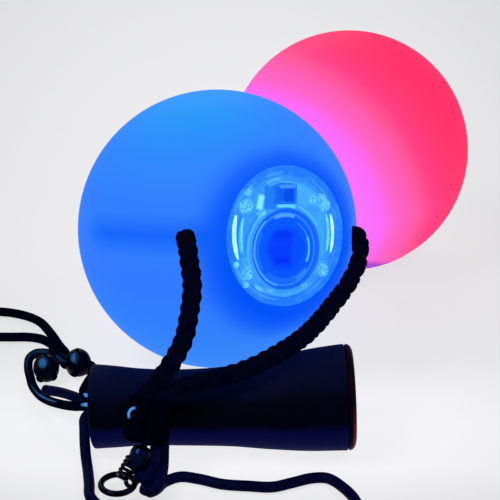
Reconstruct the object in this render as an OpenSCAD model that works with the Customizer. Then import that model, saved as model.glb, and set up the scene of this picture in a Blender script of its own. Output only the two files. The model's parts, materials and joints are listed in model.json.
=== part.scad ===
// Pair of light-up poi: two soft hollow balls, each with a plug-in lamp capsule, a braided bridle,
// a crimped ferrule, a barrel swivel, a ring, a thin leash and a flared hand grip with a finger loop.
// Both lie on a table. Millimetres, +Z up.

/* [Ball] */
// Outer diameter of each ball
ball_d = 80; // [79.8:0.1:80]
// Thickness of the soft ball wall
ball_wall = 3.2; // [2.6:0.1:3.6]
// Diameter of the recess that the lamp flange sits in
recess_d = 38.2; // [38:0.1:38.6]

/* [Lamp] */
// Diameter of the lamp flange
flange_d = 37.6; // [36.8:0.1:37.6]
// Thickness of the lamp flange
flange_t = 1.6; // [1.4:0.1:1.6]
// Outer diameter of the lamp cup
cup_d = 34.8; // [34.6:0.1:34.8]
// Wall of the lamp cup
cup_wall = 1.2; // [1:0.1:1.2]
// Diameter of the battery door
door_d = 21.6; // [21:0.1:21.7]
// How far the battery bay sits below the middle of the lamp
bay_drop = 3.5; // [3.4:0.1:3.6]
// Size of the mode button
button_w = 6; // [5:0.1:6]

/* [Cords] */
// Diameter of the braided bridle cord
bridle_d = 4.6; // [4:0.1:4.6]
// Diameter of the thin leash
leash_d = 2.8; // [2.4:0.1:2.8]
// Diameter of the neck loop and the finger loop
loop_d = 2.6; // [2.2:0.1:2.6]

/* [Grip] */
// Largest diameter, at the flared end
flare_d = 27.9; // [27:0.1:27.9]
// Diameter of the tube core
core_d = 10; // [9:0.1:10]

/* [Hidden] */
$fn = 64;
shift = [-19.6, -56.7, 0];      // puts the origin under the middle of the two poi

R = ball_d / 2;
face_z = 34.8;             // outer face of the flange, from the ball centre
seat_z = face_z - flange_t - 0.3;
cup_r = cup_d / 2;
cup_end = 20.5;            // closed end of the cup
board_z = 24.8;
screw_xy = [[12.6, 8.2], [-12.6, 8.2], [12.4, -9.6], [-12.4, -9.6]];

// ---- small vector helpers ----
function unit(v) = v / norm(v);
function flat(v, z) = unit(v - (v * z) * z);
function basis(z, x) = let (w = unit(z), u = flat(x, w)) [u, cross(w, u), w];
function put(p, m, q) = p + q[0] * m[0] + q[1] * m[1] + q[2] * m[2];
module at(p, m)
  multmatrix([[m[0][0], m[1][0], m[2][0], p[0]], [m[0][1], m[1][1], m[2][1], p[1]],
              [m[0][2], m[1][2], m[2][2], p[2]], [0, 0, 0, 1]]) children();

// ---- tube swept along a smooth route ----
function cr(a, b, c, d, t) = 0.5 * (2 * b + (c - a) * t + (2 * a - 5 * b + 4 * c - d) * t * t
                                    + (3 * b - a - 3 * c + d) * t * t * t);
function smooth(p, k) = let (n = len(p)) concat(
  [for (i = [0:n - 2], j = [0:k - 1]) cr(p[max(i - 1, 0)], p[i], p[i + 1], p[min(i + 2, n - 1)], j / k)], [p[n - 1]]);
function dirs(p) = let (n = len(p)) [for (i = [0:n - 1]) unit(p[min(i + 1, n - 1)] - p[max(i - 1, 0)])];
module tube(pts, d, k = 1, sides = 8) {
  p = smooth(pts, k);
  t = dirs(p);
  n = len(p);
  n0 = flat(abs(t[0][2]) < 0.8 ? [0, 0, 1] : [1, 0, 0], t[0]);
  nn = [for (i = 0, v = n0; i < n; i = i + 1, v = i < n ? flat(v, t[i]) : v) v];
  r = d / 2;
  v = [for (i = [0:n - 1]) let (b = cross(t[i], nn[i])) for (j = [0:sides - 1])
        let (a = 360 * j / sides) p[i] + r * (cos(a) * nn[i] + sin(a) * b)];
  f = concat([[for (j = [sides - 1:-1:0]) j]],
    [for (i = [0:n - 2], j = [0:sides - 1]) let (a = i * sides + j, b = i * sides + (j + 1) % sides)
      [a, b, b + sides, a + sides]],
    [[for (j = [0:sides - 1]) (n - 1) * sides + j]]);
  polyhedron(points = v, faces = [for (q = f) [for (k = [len(q) - 1:-1:0]) q[k]]], convexity = 10);
}
module ring(r, t) rotate_extrude($fn = 48) translate([r, 0]) circle(r = t, $fn = 24);

// ---- places of the two balls: x across the cord holes, z out of the lamp ----
blue_c = [0, 0, 40];
blue_m = basis([0.55, -0.78, 0.29], [0.84, 0.51, -0.21]);
red_c = [42.2, 68.6, 38.16];
red_m = basis([0.19, 0, -0.98], [-0.5, -0.86, 0]);

// ---- ball ----
module ball_shell(c, m, tint) color(tint) at(c, m) difference() {
  union() {
    difference() { sphere(r = R, $fn = 128); sphere(r = R - ball_wall, $fn = 128); }
    translate([0, 0, 26.5]) difference() { cylinder(r = 19.8, h = seat_z - 26.5); translate([0, 0, -1]) cylinder(r = 17.8, h = 20); }
  }
  translate([0, 0, 20]) cylinder(r = 17.8, h = 30);
  translate([0, 0, seat_z]) cylinder(r = recess_d / 2, h = 20);
  for (s = [-1, 1]) translate([s * 26.5, 0, 26.8]) rotate([0, s * 35, 0]) cylinder(r = bridle_d / 2 + 0.15, h = 16, center = true, $fn = 32);
}

// ---- lamp ----
module lamp_cup(c, m) color([0.8, 0.93, 1, 0.5]) at(c, m) {
  difference() {
    union() {
      difference() {
        translate([0, 0, cup_end]) cylinder(r = cup_r, h = face_z - flange_t - cup_end);
        translate([0, 0, cup_end + cup_wall]) cylinder(r = cup_r - cup_wall, h = 20);
      }
      intersection() {
        translate([0, 0, cup_end]) cylinder(r = cup_r, h = face_z - flange_t - cup_end);
        for (q = screw_xy) translate([q[0], q[1], cup_end]) cylinder(r = 2, h = 20, $fn = 32);
      }
    }
    for (q = screw_xy) translate([q[0], q[1], cup_end + 5]) cylinder(r = 0.95, h = 20, $fn = 24);
  }
}
module lamp_face(c, m) color([0.85, 0.95, 1, 0.5]) at(c, m) difference() {
  translate([0, 0, face_z - flange_t]) cylinder(r = flange_d / 2, h = flange_t);
  translate([0, -bay_drop, 30]) cylinder(r = 10.3, h = 10);
  translate([0, -bay_drop, face_z - 0.9]) cylinder(r = 11, h = 10);
  translate([0, 11.2, 33]) cube([button_w + 0.6, 5.6, 10], center = true);
  for (q = screw_xy) translate([q[0], q[1], 30]) { cylinder(r = 1.1, h = 10, $fn = 24); translate([0, 0, face_z - 0.8 - 30]) cylinder(r = 2, h = 5, $fn = 32); }
}
module flange_gasket(c, m) color("dimgray") at(c, m) translate([0, 0, seat_z + 0.06]) difference() {
  cylinder(r = flange_d / 2, h = 0.24);
  translate([0, 0, -1]) cylinder(r = cup_r + 0.05, h = 3);
}
module face_screws(c, m) color("silver") at(c, m) for (q = screw_xy) translate([q[0], q[1], 0]) {
  translate([0, 0, 27]) cylinder(r = 0.9, h = face_z - 0.8 - 27, $fn = 24);
  translate([0, 0, face_z - 0.8]) difference() {
    cylinder(r = 1.8, h = 0.7, $fn = 32);
    for (a = [0, 90]) rotate(a) translate([0, 0, 0.7]) cube([2.4, 0.5, 0.7], center = true);
  }
}
module battery_door(c, m) color([0.75, 0.9, 1, 0.5]) at(c, m) translate([0, -bay_drop, 0]) difference() {
  union() {
    translate([0, 0, face_z - 0.6]) cylinder(r = door_d / 2, h = 0.8);
    translate([0, 0, 33.3]) cylinder(r = 10, h = 1);
  }
  translate([0, 0, face_z + 0.2]) cube([12, 1.6, 1], center = true);
  for (a = [60, 120, 240, 300]) rotate(a) translate([8.8, 0, face_z + 0.2]) cube([1.2, 2.4, 0.6], center = true);
}
module door_seal(c, m) color("gray") at(c, m) translate([0, -bay_drop, face_z - 0.9]) difference() {
  cylinder(r = 10.95, h = 0.28);
  translate([0, 0, -1]) cylinder(r = 10.35, h = 3);
}
module battery_tray(c, m) color([0.7, 0.85, 1, 0.6]) at(c, m) translate([0, -bay_drop, board_z + 1.25]) difference() {
  cylinder(r = 11.5, h = 6.9);
  translate([0, 0, -1]) cylinder(r = 10.7, h = 9);
}
module coin_cells(c, m) color("silver") at(c, m) translate([0, -bay_drop, 0]) for (z = [26.5, 29.8]) translate([0, 0, z]) {
  cylinder(r = 10, h = 2.8);
  cylinder(r = 9, h = 3.2);
}
module battery_contacts(c, m) color("gold") at(c, m) translate([0, -bay_drop, 0]) {
  translate([-8, -2, board_z + 1.25]) cube([16, 4, 0.3]);
  translate([-2, -10.45, board_z + 1.25]) cube([4, 0.3, 5]);
}
module circuit_board(c, m) color("seagreen") at(c, m) difference() {
  translate([0, 0, board_z]) cylinder(r = cup_r - cup_wall - 0.3, h = 1.2);
  for (q = screw_xy) translate([q[0], q[1], 20]) cylinder(r = 2.3, h = 10, $fn = 32);
}
module leds(c, m) color("white") at(c, m) for (a = [0, 90, 180, 270]) rotate(a) translate([8, 0, board_z - 1]) {
  translate([0, 0, -1.6]) cylinder(r = 1.5, h = 1.6, $fn = 32);
  cylinder(r = 1.9, h = 0.95, $fn = 32);
}
module tact_switch(c, m) color("black") at(c, m) {
  translate([-2.9, 8.3, board_z + 1.25]) cube([5.8, 5.6, 3.5]);
  translate([0, 11.1, board_z + 4.75]) cylinder(r = 1.7, h = 1.6, $fn = 32);
}
module mode_button(c, m) color("navy") at(c, m) {
  translate([-button_w / 2, 8.7, 32.2]) cube([button_w, 5, face_z - 32.2 + 0.1]);
}
LAMP_LIFT = 18;

// ---- metal hardware and knots ----
module ferrule(p, m) color([0.12, 0.12, 0.14]) at(p, m) difference() {
  translate([0, 0, -5]) linear_extrude(10) { for (s = [-1, 1]) translate([s * 2.6, 0]) circle(r = 3.1); square([5.2, 6.2], center = true); }
  for (s = [-1, 1]) translate([s * 2.6, 0, -6]) cylinder(r = bridle_d / 2 + 0.1, h = 12, $fn = 32);
}
// swivel: a shank held in the ferrule, a barrel that turns on it, and the lower eye
module swivel_shank(p, m) color("silver") at(p, m) {
  translate([0, 0, -1.9]) cylinder(r = 2.2, h = 1.1, $fn = 32);
  translate([0, 0, -0.9]) cylinder(r = 1, h = 3, $fn = 32);
  translate([0, 0, 1.95]) cylinder(r = 1.6, h = 0.8, $fn = 32);
}
module swivel_barrel(p, m) color("silver") at(p, m) difference() {
  rotate_extrude() polygon([[0, 0.1], [1.7, 0.1], [2.4, 0.7], [2.75, 1.8], [2.75, 4.6], [2.4, 5.7], [1.7, 6.3], [0, 6.3]]);
  translate([0, 0, -1]) cylinder(r = 1.05, h = 12, $fn = 32);
  translate([0, 0, 1.6]) cylinder(r = 2, h = 3.2, $fn = 32);
}
module swivel_eye(p, m) color("silver") at(p, m) {
  translate([0, 0, 3.65]) cylinder(r = 1.6, h = 0.8, $fn = 32);
  translate([0, 0, 4.4]) cylinder(r = 1, h = 2.6, $fn = 32);
  translate([0, 0, 8.7]) rotate([90, 0, 0]) ring(1.9, 0.6);
}
module leash_ring(p, m) color([0.2, 0.2, 0.22]) at(p, m) ring(4.2, 0.8);
module leash_knot(p, m) color("black") at(p, m) difference() {
  intersection() { scale(3.4) sphere(r = 1, $fn = 32); cube([10, 10, 5.4], center = true); }
}
module coil(p, r, w, h) color("black") translate(p) rotate_extrude() translate([r - w / 2, 0]) square([w, h]);

// ---- grip, along its own z from the neck to the flared end ----
prof = [[0, 11.1], [5.5, 10.7], [11, 10.2], [17, 10], [27, 10.1], [36, 10.6], [46, 12], [56, 13.3], [63, 13.8], [65.9, flare_d / 2]];
module grip_sleeve(p, m) color([0.04, 0.04, 0.06]) at(p, m) difference() {
  rotate_extrude() polygon(concat([[0, 0]], [[10.4, 0]], [for (q = prof) [q[1], q[0] + 0.7]], [[0, 66.6]]));
  translate([0, 0, -1]) cylinder(r = core_d / 2 + 0.05, h = 80);
}
module grip_core(p, m) color([0.1, 0.1, 0.1]) at(p, m) difference() {
  translate([0, 0, 0.2]) cylinder(r = core_d / 2, h = 55.6);
  translate([0, 0, -3]) cylinder(r = 4.2, h = 9.5);
}
module grip_cap(p, m) color([0.1, 0.05, 0.08]) at(p, m) {
  translate([0, 0, 66.62]) rotate_extrude() polygon([[0, 0], [13.9, 0], [13.9, 0.8], [13.5, 1.6], [12.6, 2.1], [0, 2.1]]);
  translate([0, 0, 57]) cylinder(r = core_d / 2, h = 9.7);
}
module loop_cord(pts, d) color([0.03, 0.03, 0.05]) tube(pts, d, 1);
module hitch(p, m) color([0.03, 0.03, 0.05]) at(p, m) {
  for (e = [-1, 1]) translate([e * 4.7, 0, 0]) rotate([0, 90, 0]) cylinder(r = 3.8, h = 6.4, center = true, $fn = 40);
  translate([0, 2.6, 1.9]) cube([9, 2.6, 2.6], center = true);
}

// ---- blue poi: places and routes ----
bf_p = [-16.2, -64.6, 16.2];                       // middle of the ferrule
bf_m = basis([-0.19, -0.42, -0.89], [0.98, -0.08, -0.17]);
bs_p = put(bf_p, bf_m, [0, 0, 6.8]);
bs_m = basis([-0.32, -0.42, -0.85], [0.8, 0.55, -0.6]);
br_p = put(bs_p, bs_m, [0, 0, 8.7]) + [-3.4, -2.5, 0.3];
hole_in = [[-27.8, 0, 28.7], [-24.5, 0, 24], [-20.5, 0, 18.8], [-11, 0, 14], [0, 0, 12.8],
           [11, 0, 14], [20.5, 0, 18.8], [24.5, 0, 24], [27.8, 0, 28.7]];
blue_inside = [for (q = hole_in) put(blue_c, blue_m, q)];
blue_bridle = concat(
  [put(bf_p, bf_m, [-2.6, 0, 4.5]), put(bf_p, bf_m, [-2.6, 0, -5.5]), [-14.8, -61.2, 24], [-10.4, -58.2, 29], [-7.4, -55, 34], [-6, -53, 40],
   [-5.2, -50, 46], [-6, -46, 52], [-6.9, -41, 55]],
  blue_inside,
  [[40.9, -10.8, 43], [40.7, -16, 38.2], [36.9, -23.4, 34.4], [31.9, -30.8, 31.6], [27.1, -39.2, 30], [22.2, -46.8, 29.3], [16.4, -52.6, 28.4],
   [9.4, -56, 26.3], [1.7, -58.5, 24.8], [-6, -60.5, 23.8], put(bf_p, bf_m, [2.6, 0, -5.5]), put(bf_p, bf_m, [2.6, 0, 4.5])]);
bk_p = [-16.6, -75.6, 2.72];
blue_leash_a = [[-14.4, -73, 1.8], [-12.4, -69.4, 1.45], [-8.4, -67.6, 1.45], [-3.4, -69, 1.45], [2.4, -71.4, 1.45], [9, -73.4, 1.45], [15, -73.6, 1.45], [20, -71.4, 1.45],
                [25, -68.8, 1.45], [29, -68.8, 1.45], [32.5, -72.4, 1.45], [35.5, -78.5, 1.45], [37.5, -86, 1.45], [37, -94, 1.45], [33, -100, 1.45]];
blue_coil_p = [14, -103, 0.05];
blue_leash_b = [[-3.5, -96.5, 1.45], [-8, -91, 1.45], [-13, -86, 1.45], [-20, -82.2, 1.45], [-26.4, -80, 1.45], [-30, -75.6, 1.45], [-31.3, -70, 1.45],
                [-32.3, -64.6, 1.5], [-33.2, -60.2, 2.2], [-33.8, -56.6, 4.2], [-34.1, -53.6, 6.4], [-34.2, -51.4, 8.2], [-33, -50.1, 9.1], [-30.6, -50, 9.3]];
blue_leash_tip = [[-31.2, -47.4, 10.6], [-34, -46.6, 10.6], [-37.4, -43.8, 10.2], [-41.7, -39.4, 8.9], [-47, -35.2, 7.3]];
bg_p = [-32, -50, 11.15];
bg_m = basis([1, 0, 0.0435], [0, 1, 0]);
blue_neck = [[-29.6, -51.9, 12.7], [-33.2, -51.9, 12.5], [-35.8, -49.2, 10.8], [-38, -45, 8.2], [-41.8, -40.4, 5.8], [-45.8, -36, 4.2], [-49.2, -31.5, 3.3], [-51.9, -26.3, 3],
             [-53.6, -20.8, 3.1], [-54.7, -16.6, 3.8], [-54.6, -14, 5.2], [-52.8, -13.6, 6.5], [-49.8, -14.4, 7.2], [-46.8, -14.4, 6.2], [-44.4, -15.6, 4.8], [-40.3, -15.1, 4.35], [-37, -14.9, 4.6],
             [-35.4, -18.6, 5.6], [-35, -27, 7.6], [-35.2, -36, 9.8], [-35.2, -43.6, 11.6], [-33.4, -47.6, 12.6], [-29.6, -48.1, 12.7]];
bh_p = [-44.8, -16.6, 4.35];
bh_m = basis([0, 0, 1], [0.945, 0.326, 0]);
blue_finger = [[-47.4, -12.6, 3.4], [-49.2, -6.6, 2.2], [-51.4, -1.6, 1.7], [-54.4, 2.4, 1.4], [-58.6, 4.6, 1.35], [-63, 5.4, 1.35], [-68, 5.4, 1.35], [-75, 4.6, 1.35],
               [-81.5, 6, 1.35], [-84.4, 11, 1.35], [-82.6, 17.4, 1.35], [-77, 21.6, 1.35], [-69.7, 22, 1.35], [-63.6, 19.6, 1.35], [-58, 14.6, 1.35], [-53.4, 6.6, 1.4],
               [-49.4, -2, 1.8], [-46.4, -7.4, 2.6], [-45, -12, 3.4]];

// ---- red poi: places and routes ----
rf_p = [10, 124, 3.2];
rf_m = basis([-0.5, 0.86, 0], [0.86, 0.5, 0]);
rs_p = put(rf_p, rf_m, [0, 0, 6.8]);
rs_m = basis([-0.5, 0.86, 0], [0, 0, 1]);
rr_p = put(rs_p, rs_m, [0, 0, 12.6]);
red_inside = [for (q = hole_in) put(red_c, red_m, q)];
red_bridle = concat(
  [put(rf_p, rf_m, [2.6, 0, 4.5]), put(rf_p, rf_m, [2.6, 0, -5.5]), [22, 116.5, 3], [33, 113, 2.4], [45, 112.6, 2.35], [56, 109, 2.35], [64, 104, 2.6], [66, 99, 4.4], [64.5, 95.8, 7.8]],
  red_inside,
  [[29, 42.4, 2.7], [22, 42, 2.35], [13, 46, 2.35], [5, 54, 2.35], [-1, 64, 2.35], [-4, 76, 2.35], [-4, 89, 2.35], [0, 101, 2.35], [6.5, 112, 2.6],
   put(rf_p, rf_m, [-2.6, 0, -5.5]), put(rf_p, rf_m, [-2.6, 0, 4.5])]);
rk_p = put(rs_p, rs_m, [-0.45, 0, 18.6]);
red_leash_a = [[-4.2, 148, 1.9], [-2, 151, 1.5], [3, 152.4, 1.45], [12, 150, 1.45], [21, 146, 1.45], [30, 143.6, 1.45], [39, 143.2, 1.45]];
red_coil_p = [58, 146, 0.05];
red_leash_b = [[46, 161, 1.45], [38, 163.6, 1.45], [28, 164.6, 1.45], [17, 165, 1.45], [9, 166.4, 1.5], [5.8, 170, 3.2], [4.6, 174, 6.4], [5.4, 177, 8.8],
               [7.6, 177.9, 9.2], [11, 178, 9.3]];
rg_p = [10, 178, 11.15];
rg_m = basis([1, 0, 0.0435], [0, 1, 0]);
red_neck = [[12.4, 176.1, 12.7], [8.6, 176.1, 12.6], [4.6, 175, 11.4], [-2, 173, 7], [-9, 171.8, 4.2], [-15, 173, 4.3], [-18.4, 177.2, 4.35], [-18.4, 184.4, 4.35],
            [-14.6, 188.2, 4.3], [-8.6, 187.2, 4.6], [-1.6, 184.4, 7], [4.2, 181.4, 10.6], [8.6, 179.9, 12.6], [12.4, 179.9, 12.7]];
rh_p = [-18.4, 181, 4.35];
rh_m = basis([0, 0, 1], [0, 1, 0]);
red_finger = [[-22, 179.4, 3.4], [-27, 177.6, 1.8], [-31.6, 178, 1.35], [-34.4, 183, 1.35], [-34, 190, 1.35], [-30, 196.4, 1.35], [-22, 198.6, 1.35], [-12, 198.4, 1.35],
              [-5, 195.6, 1.35], [-4.6, 191.6, 1.35], [-12, 191.6, 1.35], [-21, 191.6, 1.35], [-26.6, 189.6, 1.35], [-27.6, 185.6, 1.8], [-22, 182.6, 3.4]];

module place() translate(shift) children();

module blue_ball_shell() place() ball_shell(blue_c, blue_m, [0.2, 0.6, 1]);
module blue_lamp_cup() place() lamp_cup(blue_c, blue_m);
module blue_lamp_face() place() lamp_face(blue_c, blue_m);
module blue_flange_gasket() place() flange_gasket(blue_c, blue_m);
module blue_face_screws() place() face_screws(blue_c, blue_m);
module blue_battery_door() place() battery_door(blue_c, blue_m);
module blue_door_seal() place() door_seal(blue_c, blue_m);
module blue_battery_tray() place() battery_tray(blue_c, blue_m);
module blue_coin_cells() place() coin_cells(blue_c, blue_m);
module blue_battery_contacts() place() battery_contacts(blue_c, blue_m);
module blue_circuit_board() place() circuit_board(blue_c, blue_m);
module blue_leds() place() leds(blue_c, blue_m);
module blue_tact_switch() place() tact_switch(blue_c, blue_m);
module blue_mode_button() place() mode_button(blue_c, blue_m);
module blue_bridle_cord() place() loop_cord(blue_bridle, bridle_d);
module blue_bridle_ferrule() place() ferrule(bf_p, bf_m);
module blue_swivel_shank() place() swivel_shank(bs_p, bs_m);
module blue_swivel_barrel() place() swivel_barrel(bs_p, bs_m);
module blue_swivel_eye() place() swivel_eye(bs_p, bs_m);
module blue_leash_ring() place() leash_ring(br_p, basis([0, 0, 1], [1, 0, 0]));
module blue_leash_knot() place() leash_knot(bk_p, basis([0, 0, 1], [1, 0, 0]));
module blue_leash_cord() place() { loop_cord(blue_leash_a, leash_d); loop_cord(blue_leash_b, leash_d); loop_cord(blue_leash_tip, leash_d); }
module blue_leash_coil() place() coil(blue_coil_p, 16, 5.6, 5.6);
module blue_grip_sleeve() place() grip_sleeve(bg_p, bg_m);
module blue_grip_core() place() grip_core(bg_p, bg_m);
module blue_grip_cap() place() grip_cap(bg_p, bg_m);
module blue_neck_loop() place() loop_cord(blue_neck, loop_d);
module blue_finger_loop() place() loop_cord(blue_finger, loop_d);
module blue_finger_hitch() place() hitch(bh_p, bh_m);

module red_ball_shell() place() ball_shell(red_c, red_m, [1, 0.2, 0.4]);
module red_lamp_cup() place() lamp_cup(red_c, red_m);
module red_lamp_face() place() lamp_face(red_c, red_m);
module red_flange_gasket() place() flange_gasket(red_c, red_m);
module red_face_screws() place() face_screws(red_c, red_m);
module red_battery_door() place() battery_door(red_c, red_m);
module red_door_seal() place() door_seal(red_c, red_m);
module red_battery_tray() place() battery_tray(red_c, red_m);
module red_coin_cells() place() coin_cells(red_c, red_m);
module red_battery_contacts() place() battery_contacts(red_c, red_m);
module red_circuit_board() place() circuit_board(red_c, red_m);
module red_leds() place() leds(red_c, red_m);
module red_tact_switch() place() tact_switch(red_c, red_m);
module red_mode_button() place() mode_button(red_c, red_m);
module red_bridle_cord() place() loop_cord(red_bridle, bridle_d);
module red_bridle_ferrule() place() ferrule(rf_p, rf_m);
module red_swivel_shank() place() swivel_shank(rs_p, rs_m);
module red_swivel_barrel() place() swivel_barrel(rs_p, rs_m);
module red_swivel_eye() place() swivel_eye(rs_p, rs_m);
module red_leash_ring() place() leash_ring(rr_p, basis([0, 0, 1], [1, 0, 0]));
module red_leash_knot() place() leash_knot(rk_p, basis([0, 0, 1], [1, 0, 0]));
module red_leash_cord() place() { loop_cord(red_leash_a, leash_d); loop_cord(red_leash_b, leash_d); }
module red_leash_coil() place() coil(red_coil_p, 16, 5.6, 5.6);
module red_grip_sleeve() place() grip_sleeve(rg_p, rg_m);
module red_grip_core() place() grip_core(rg_p, rg_m);
module red_grip_cap() place() grip_cap(rg_p, rg_m);
module red_neck_loop() place() loop_cord(red_neck, loop_d);
module red_finger_loop() place() loop_cord(red_finger, loop_d);
module red_finger_hitch() place() hitch(rh_p, rh_m);

blue_ball_shell();
blue_lamp_cup();
blue_lamp_face();
blue_flange_gasket();
blue_face_screws();
blue_battery_door();
blue_door_seal();
blue_battery_tray();
blue_coin_cells();
blue_battery_contacts();
blue_circuit_board();
blue_leds();
blue_tact_switch();
blue_mode_button();
blue_bridle_cord();
blue_bridle_ferrule();
blue_swivel_shank();
blue_swivel_barrel();
blue_swivel_eye();
blue_leash_ring();
blue_leash_knot();
blue_leash_cord();
blue_leash_coil();
blue_grip_sleeve();
blue_grip_core();
blue_grip_cap();
blue_neck_loop();
blue_finger_loop();
blue_finger_hitch();
red_ball_shell();
red_lamp_cup();
red_lamp_face();
red_flange_gasket();
red_face_screws();
red_battery_door();
red_door_seal();
red_battery_tray();
red_coin_cells();
red_battery_contacts();
red_circuit_board();
red_leds();
red_tact_switch();
red_mode_button();
red_bridle_cord();
red_bridle_ferrule();
red_swivel_shank();
red_swivel_barrel();
red_swivel_eye();
red_leash_ring();
red_leash_knot();
red_leash_cord();
red_leash_coil();
red_grip_sleeve();
red_grip_core();
red_grip_cap();
red_neck_loop();
red_finger_loop();
red_finger_hitch();
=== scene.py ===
# Looks for the pair of light-up poi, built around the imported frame. Metres, +Z up.
import bpy, bmesh, math
from mathutils import Vector, Matrix, noise
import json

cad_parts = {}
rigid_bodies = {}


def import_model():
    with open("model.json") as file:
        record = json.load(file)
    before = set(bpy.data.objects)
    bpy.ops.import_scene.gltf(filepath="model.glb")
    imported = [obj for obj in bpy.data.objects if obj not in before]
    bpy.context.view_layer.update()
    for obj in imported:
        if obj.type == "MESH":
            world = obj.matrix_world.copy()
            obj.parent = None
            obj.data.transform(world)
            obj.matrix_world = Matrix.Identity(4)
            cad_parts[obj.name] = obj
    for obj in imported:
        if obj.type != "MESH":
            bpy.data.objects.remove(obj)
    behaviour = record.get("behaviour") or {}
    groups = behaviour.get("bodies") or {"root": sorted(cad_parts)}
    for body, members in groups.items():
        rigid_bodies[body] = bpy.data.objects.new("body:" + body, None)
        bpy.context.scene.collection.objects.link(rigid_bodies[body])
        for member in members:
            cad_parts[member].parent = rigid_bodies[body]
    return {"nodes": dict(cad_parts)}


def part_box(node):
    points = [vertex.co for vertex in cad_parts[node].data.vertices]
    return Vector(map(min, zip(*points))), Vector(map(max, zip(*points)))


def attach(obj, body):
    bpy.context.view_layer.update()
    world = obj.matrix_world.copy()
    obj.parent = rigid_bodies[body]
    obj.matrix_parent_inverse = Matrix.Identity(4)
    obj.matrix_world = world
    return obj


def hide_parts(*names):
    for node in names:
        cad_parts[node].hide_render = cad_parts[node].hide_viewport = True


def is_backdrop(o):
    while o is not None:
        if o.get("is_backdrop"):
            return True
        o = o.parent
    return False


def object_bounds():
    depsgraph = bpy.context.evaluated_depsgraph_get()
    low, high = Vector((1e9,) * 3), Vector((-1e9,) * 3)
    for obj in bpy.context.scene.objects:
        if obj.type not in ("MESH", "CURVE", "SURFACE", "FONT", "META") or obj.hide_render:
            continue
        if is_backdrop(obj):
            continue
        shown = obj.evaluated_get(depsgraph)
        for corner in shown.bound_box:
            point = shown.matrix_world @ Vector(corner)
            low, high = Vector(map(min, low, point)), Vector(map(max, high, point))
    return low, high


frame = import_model()
cad_box = [[float(x) for x in v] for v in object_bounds()]
N = frame["nodes"]
scene = bpy.context.scene
scene.view_settings.view_transform = "Standard"
scene.view_settings.look = "None"

# ------------------------------------------------------------------ frame helpers
_lo, _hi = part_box("blue_ball_shell")
MM = 0.001
OX = (_lo.x + _hi.x) / 2 / MM
OY = (_lo.y + _hi.y) / 2 / MM


def W(p):
    """A point given in millimetres from the spot where the blue ball touches the table."""
    return Vector(((p[0] + OX) * MM, (p[1] + OY) * MM, p[2] * MM))


def basis(z, x):
    w = Vector(z).normalized()
    x = Vector(x)
    u = (x - w * x.dot(w)).normalized()
    return [u, w.cross(u), w]


def put(p, m, q):
    return Vector(p) + m[0] * q[0] + m[1] * q[1] + m[2] * q[2]


BLUE_C, BLUE_M = Vector((0, 0, 40)), basis((0.55, -0.78, 0.29), (0.84, 0.51, -0.21))
RED_C, RED_M = Vector((42.2, 68.6, 38.16)), basis((0.19, 0, -0.98), (-0.5, -0.86, 0))
BF_P, BF_M = Vector((-16.2, -64.6, 16.2)), basis((-0.19, -0.42, -0.89), (0.98, -0.08, -0.17))
BS_M = basis((-0.32, -0.42, -0.85), (0.8, 0.55, -0.6))
BS_P = put(BF_P, BF_M, (0, 0, 6.8))
RF_P, RF_M = Vector((10, 124, 3.2)), basis((-0.5, 0.86, 0), (0.86, 0.5, 0))
RS_M = basis((-0.5, 0.86, 0), (0, 0, 1))
RS_P = put(RF_P, RF_M, (0, 0, 6.8))
BG_P, BG_M = Vector((-32, -50, 11.15)), basis((1, 0, 0.0435), (0, 1, 0))
RG_P, RG_M = Vector((10, 178, 11.15)), basis((1, 0, 0.0435), (0, 1, 0))

# ------------------------------------------------------------------ camera
cam_data = bpy.data.cameras.new("camera")
cam_data.lens = 95.04
cam_data.sensor_width = 36
cam_data.clip_start = 0.01
cam = bpy.data.objects.new("camera", cam_data)
scene.collection.objects.link(cam)
cam.location = W((9.39, -348.07, 195.62))
cam.rotation_euler = (math.radians(65), 0, 0)
scene.camera = cam


# ------------------------------------------------------------------ mesh helpers
def link(name, bm=None, verts=None, faces=None, smooth=True, sharp=None):
    me = bpy.data.meshes.new(name)
    if bm is not None:
        bm.to_mesh(me)
        bm.free()
    else:
        me.from_pydata([tuple(v) for v in verts], [], faces)
    me.update()
    ob = bpy.data.objects.new(name, me)
    scene.collection.objects.link(ob)
    if smooth:
        me.polygons.foreach_set("use_smooth", [True] * len(me.polygons))
        if sharp:
            me.set_sharp_from_angle(angle=math.radians(sharp))
    return ob


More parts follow.
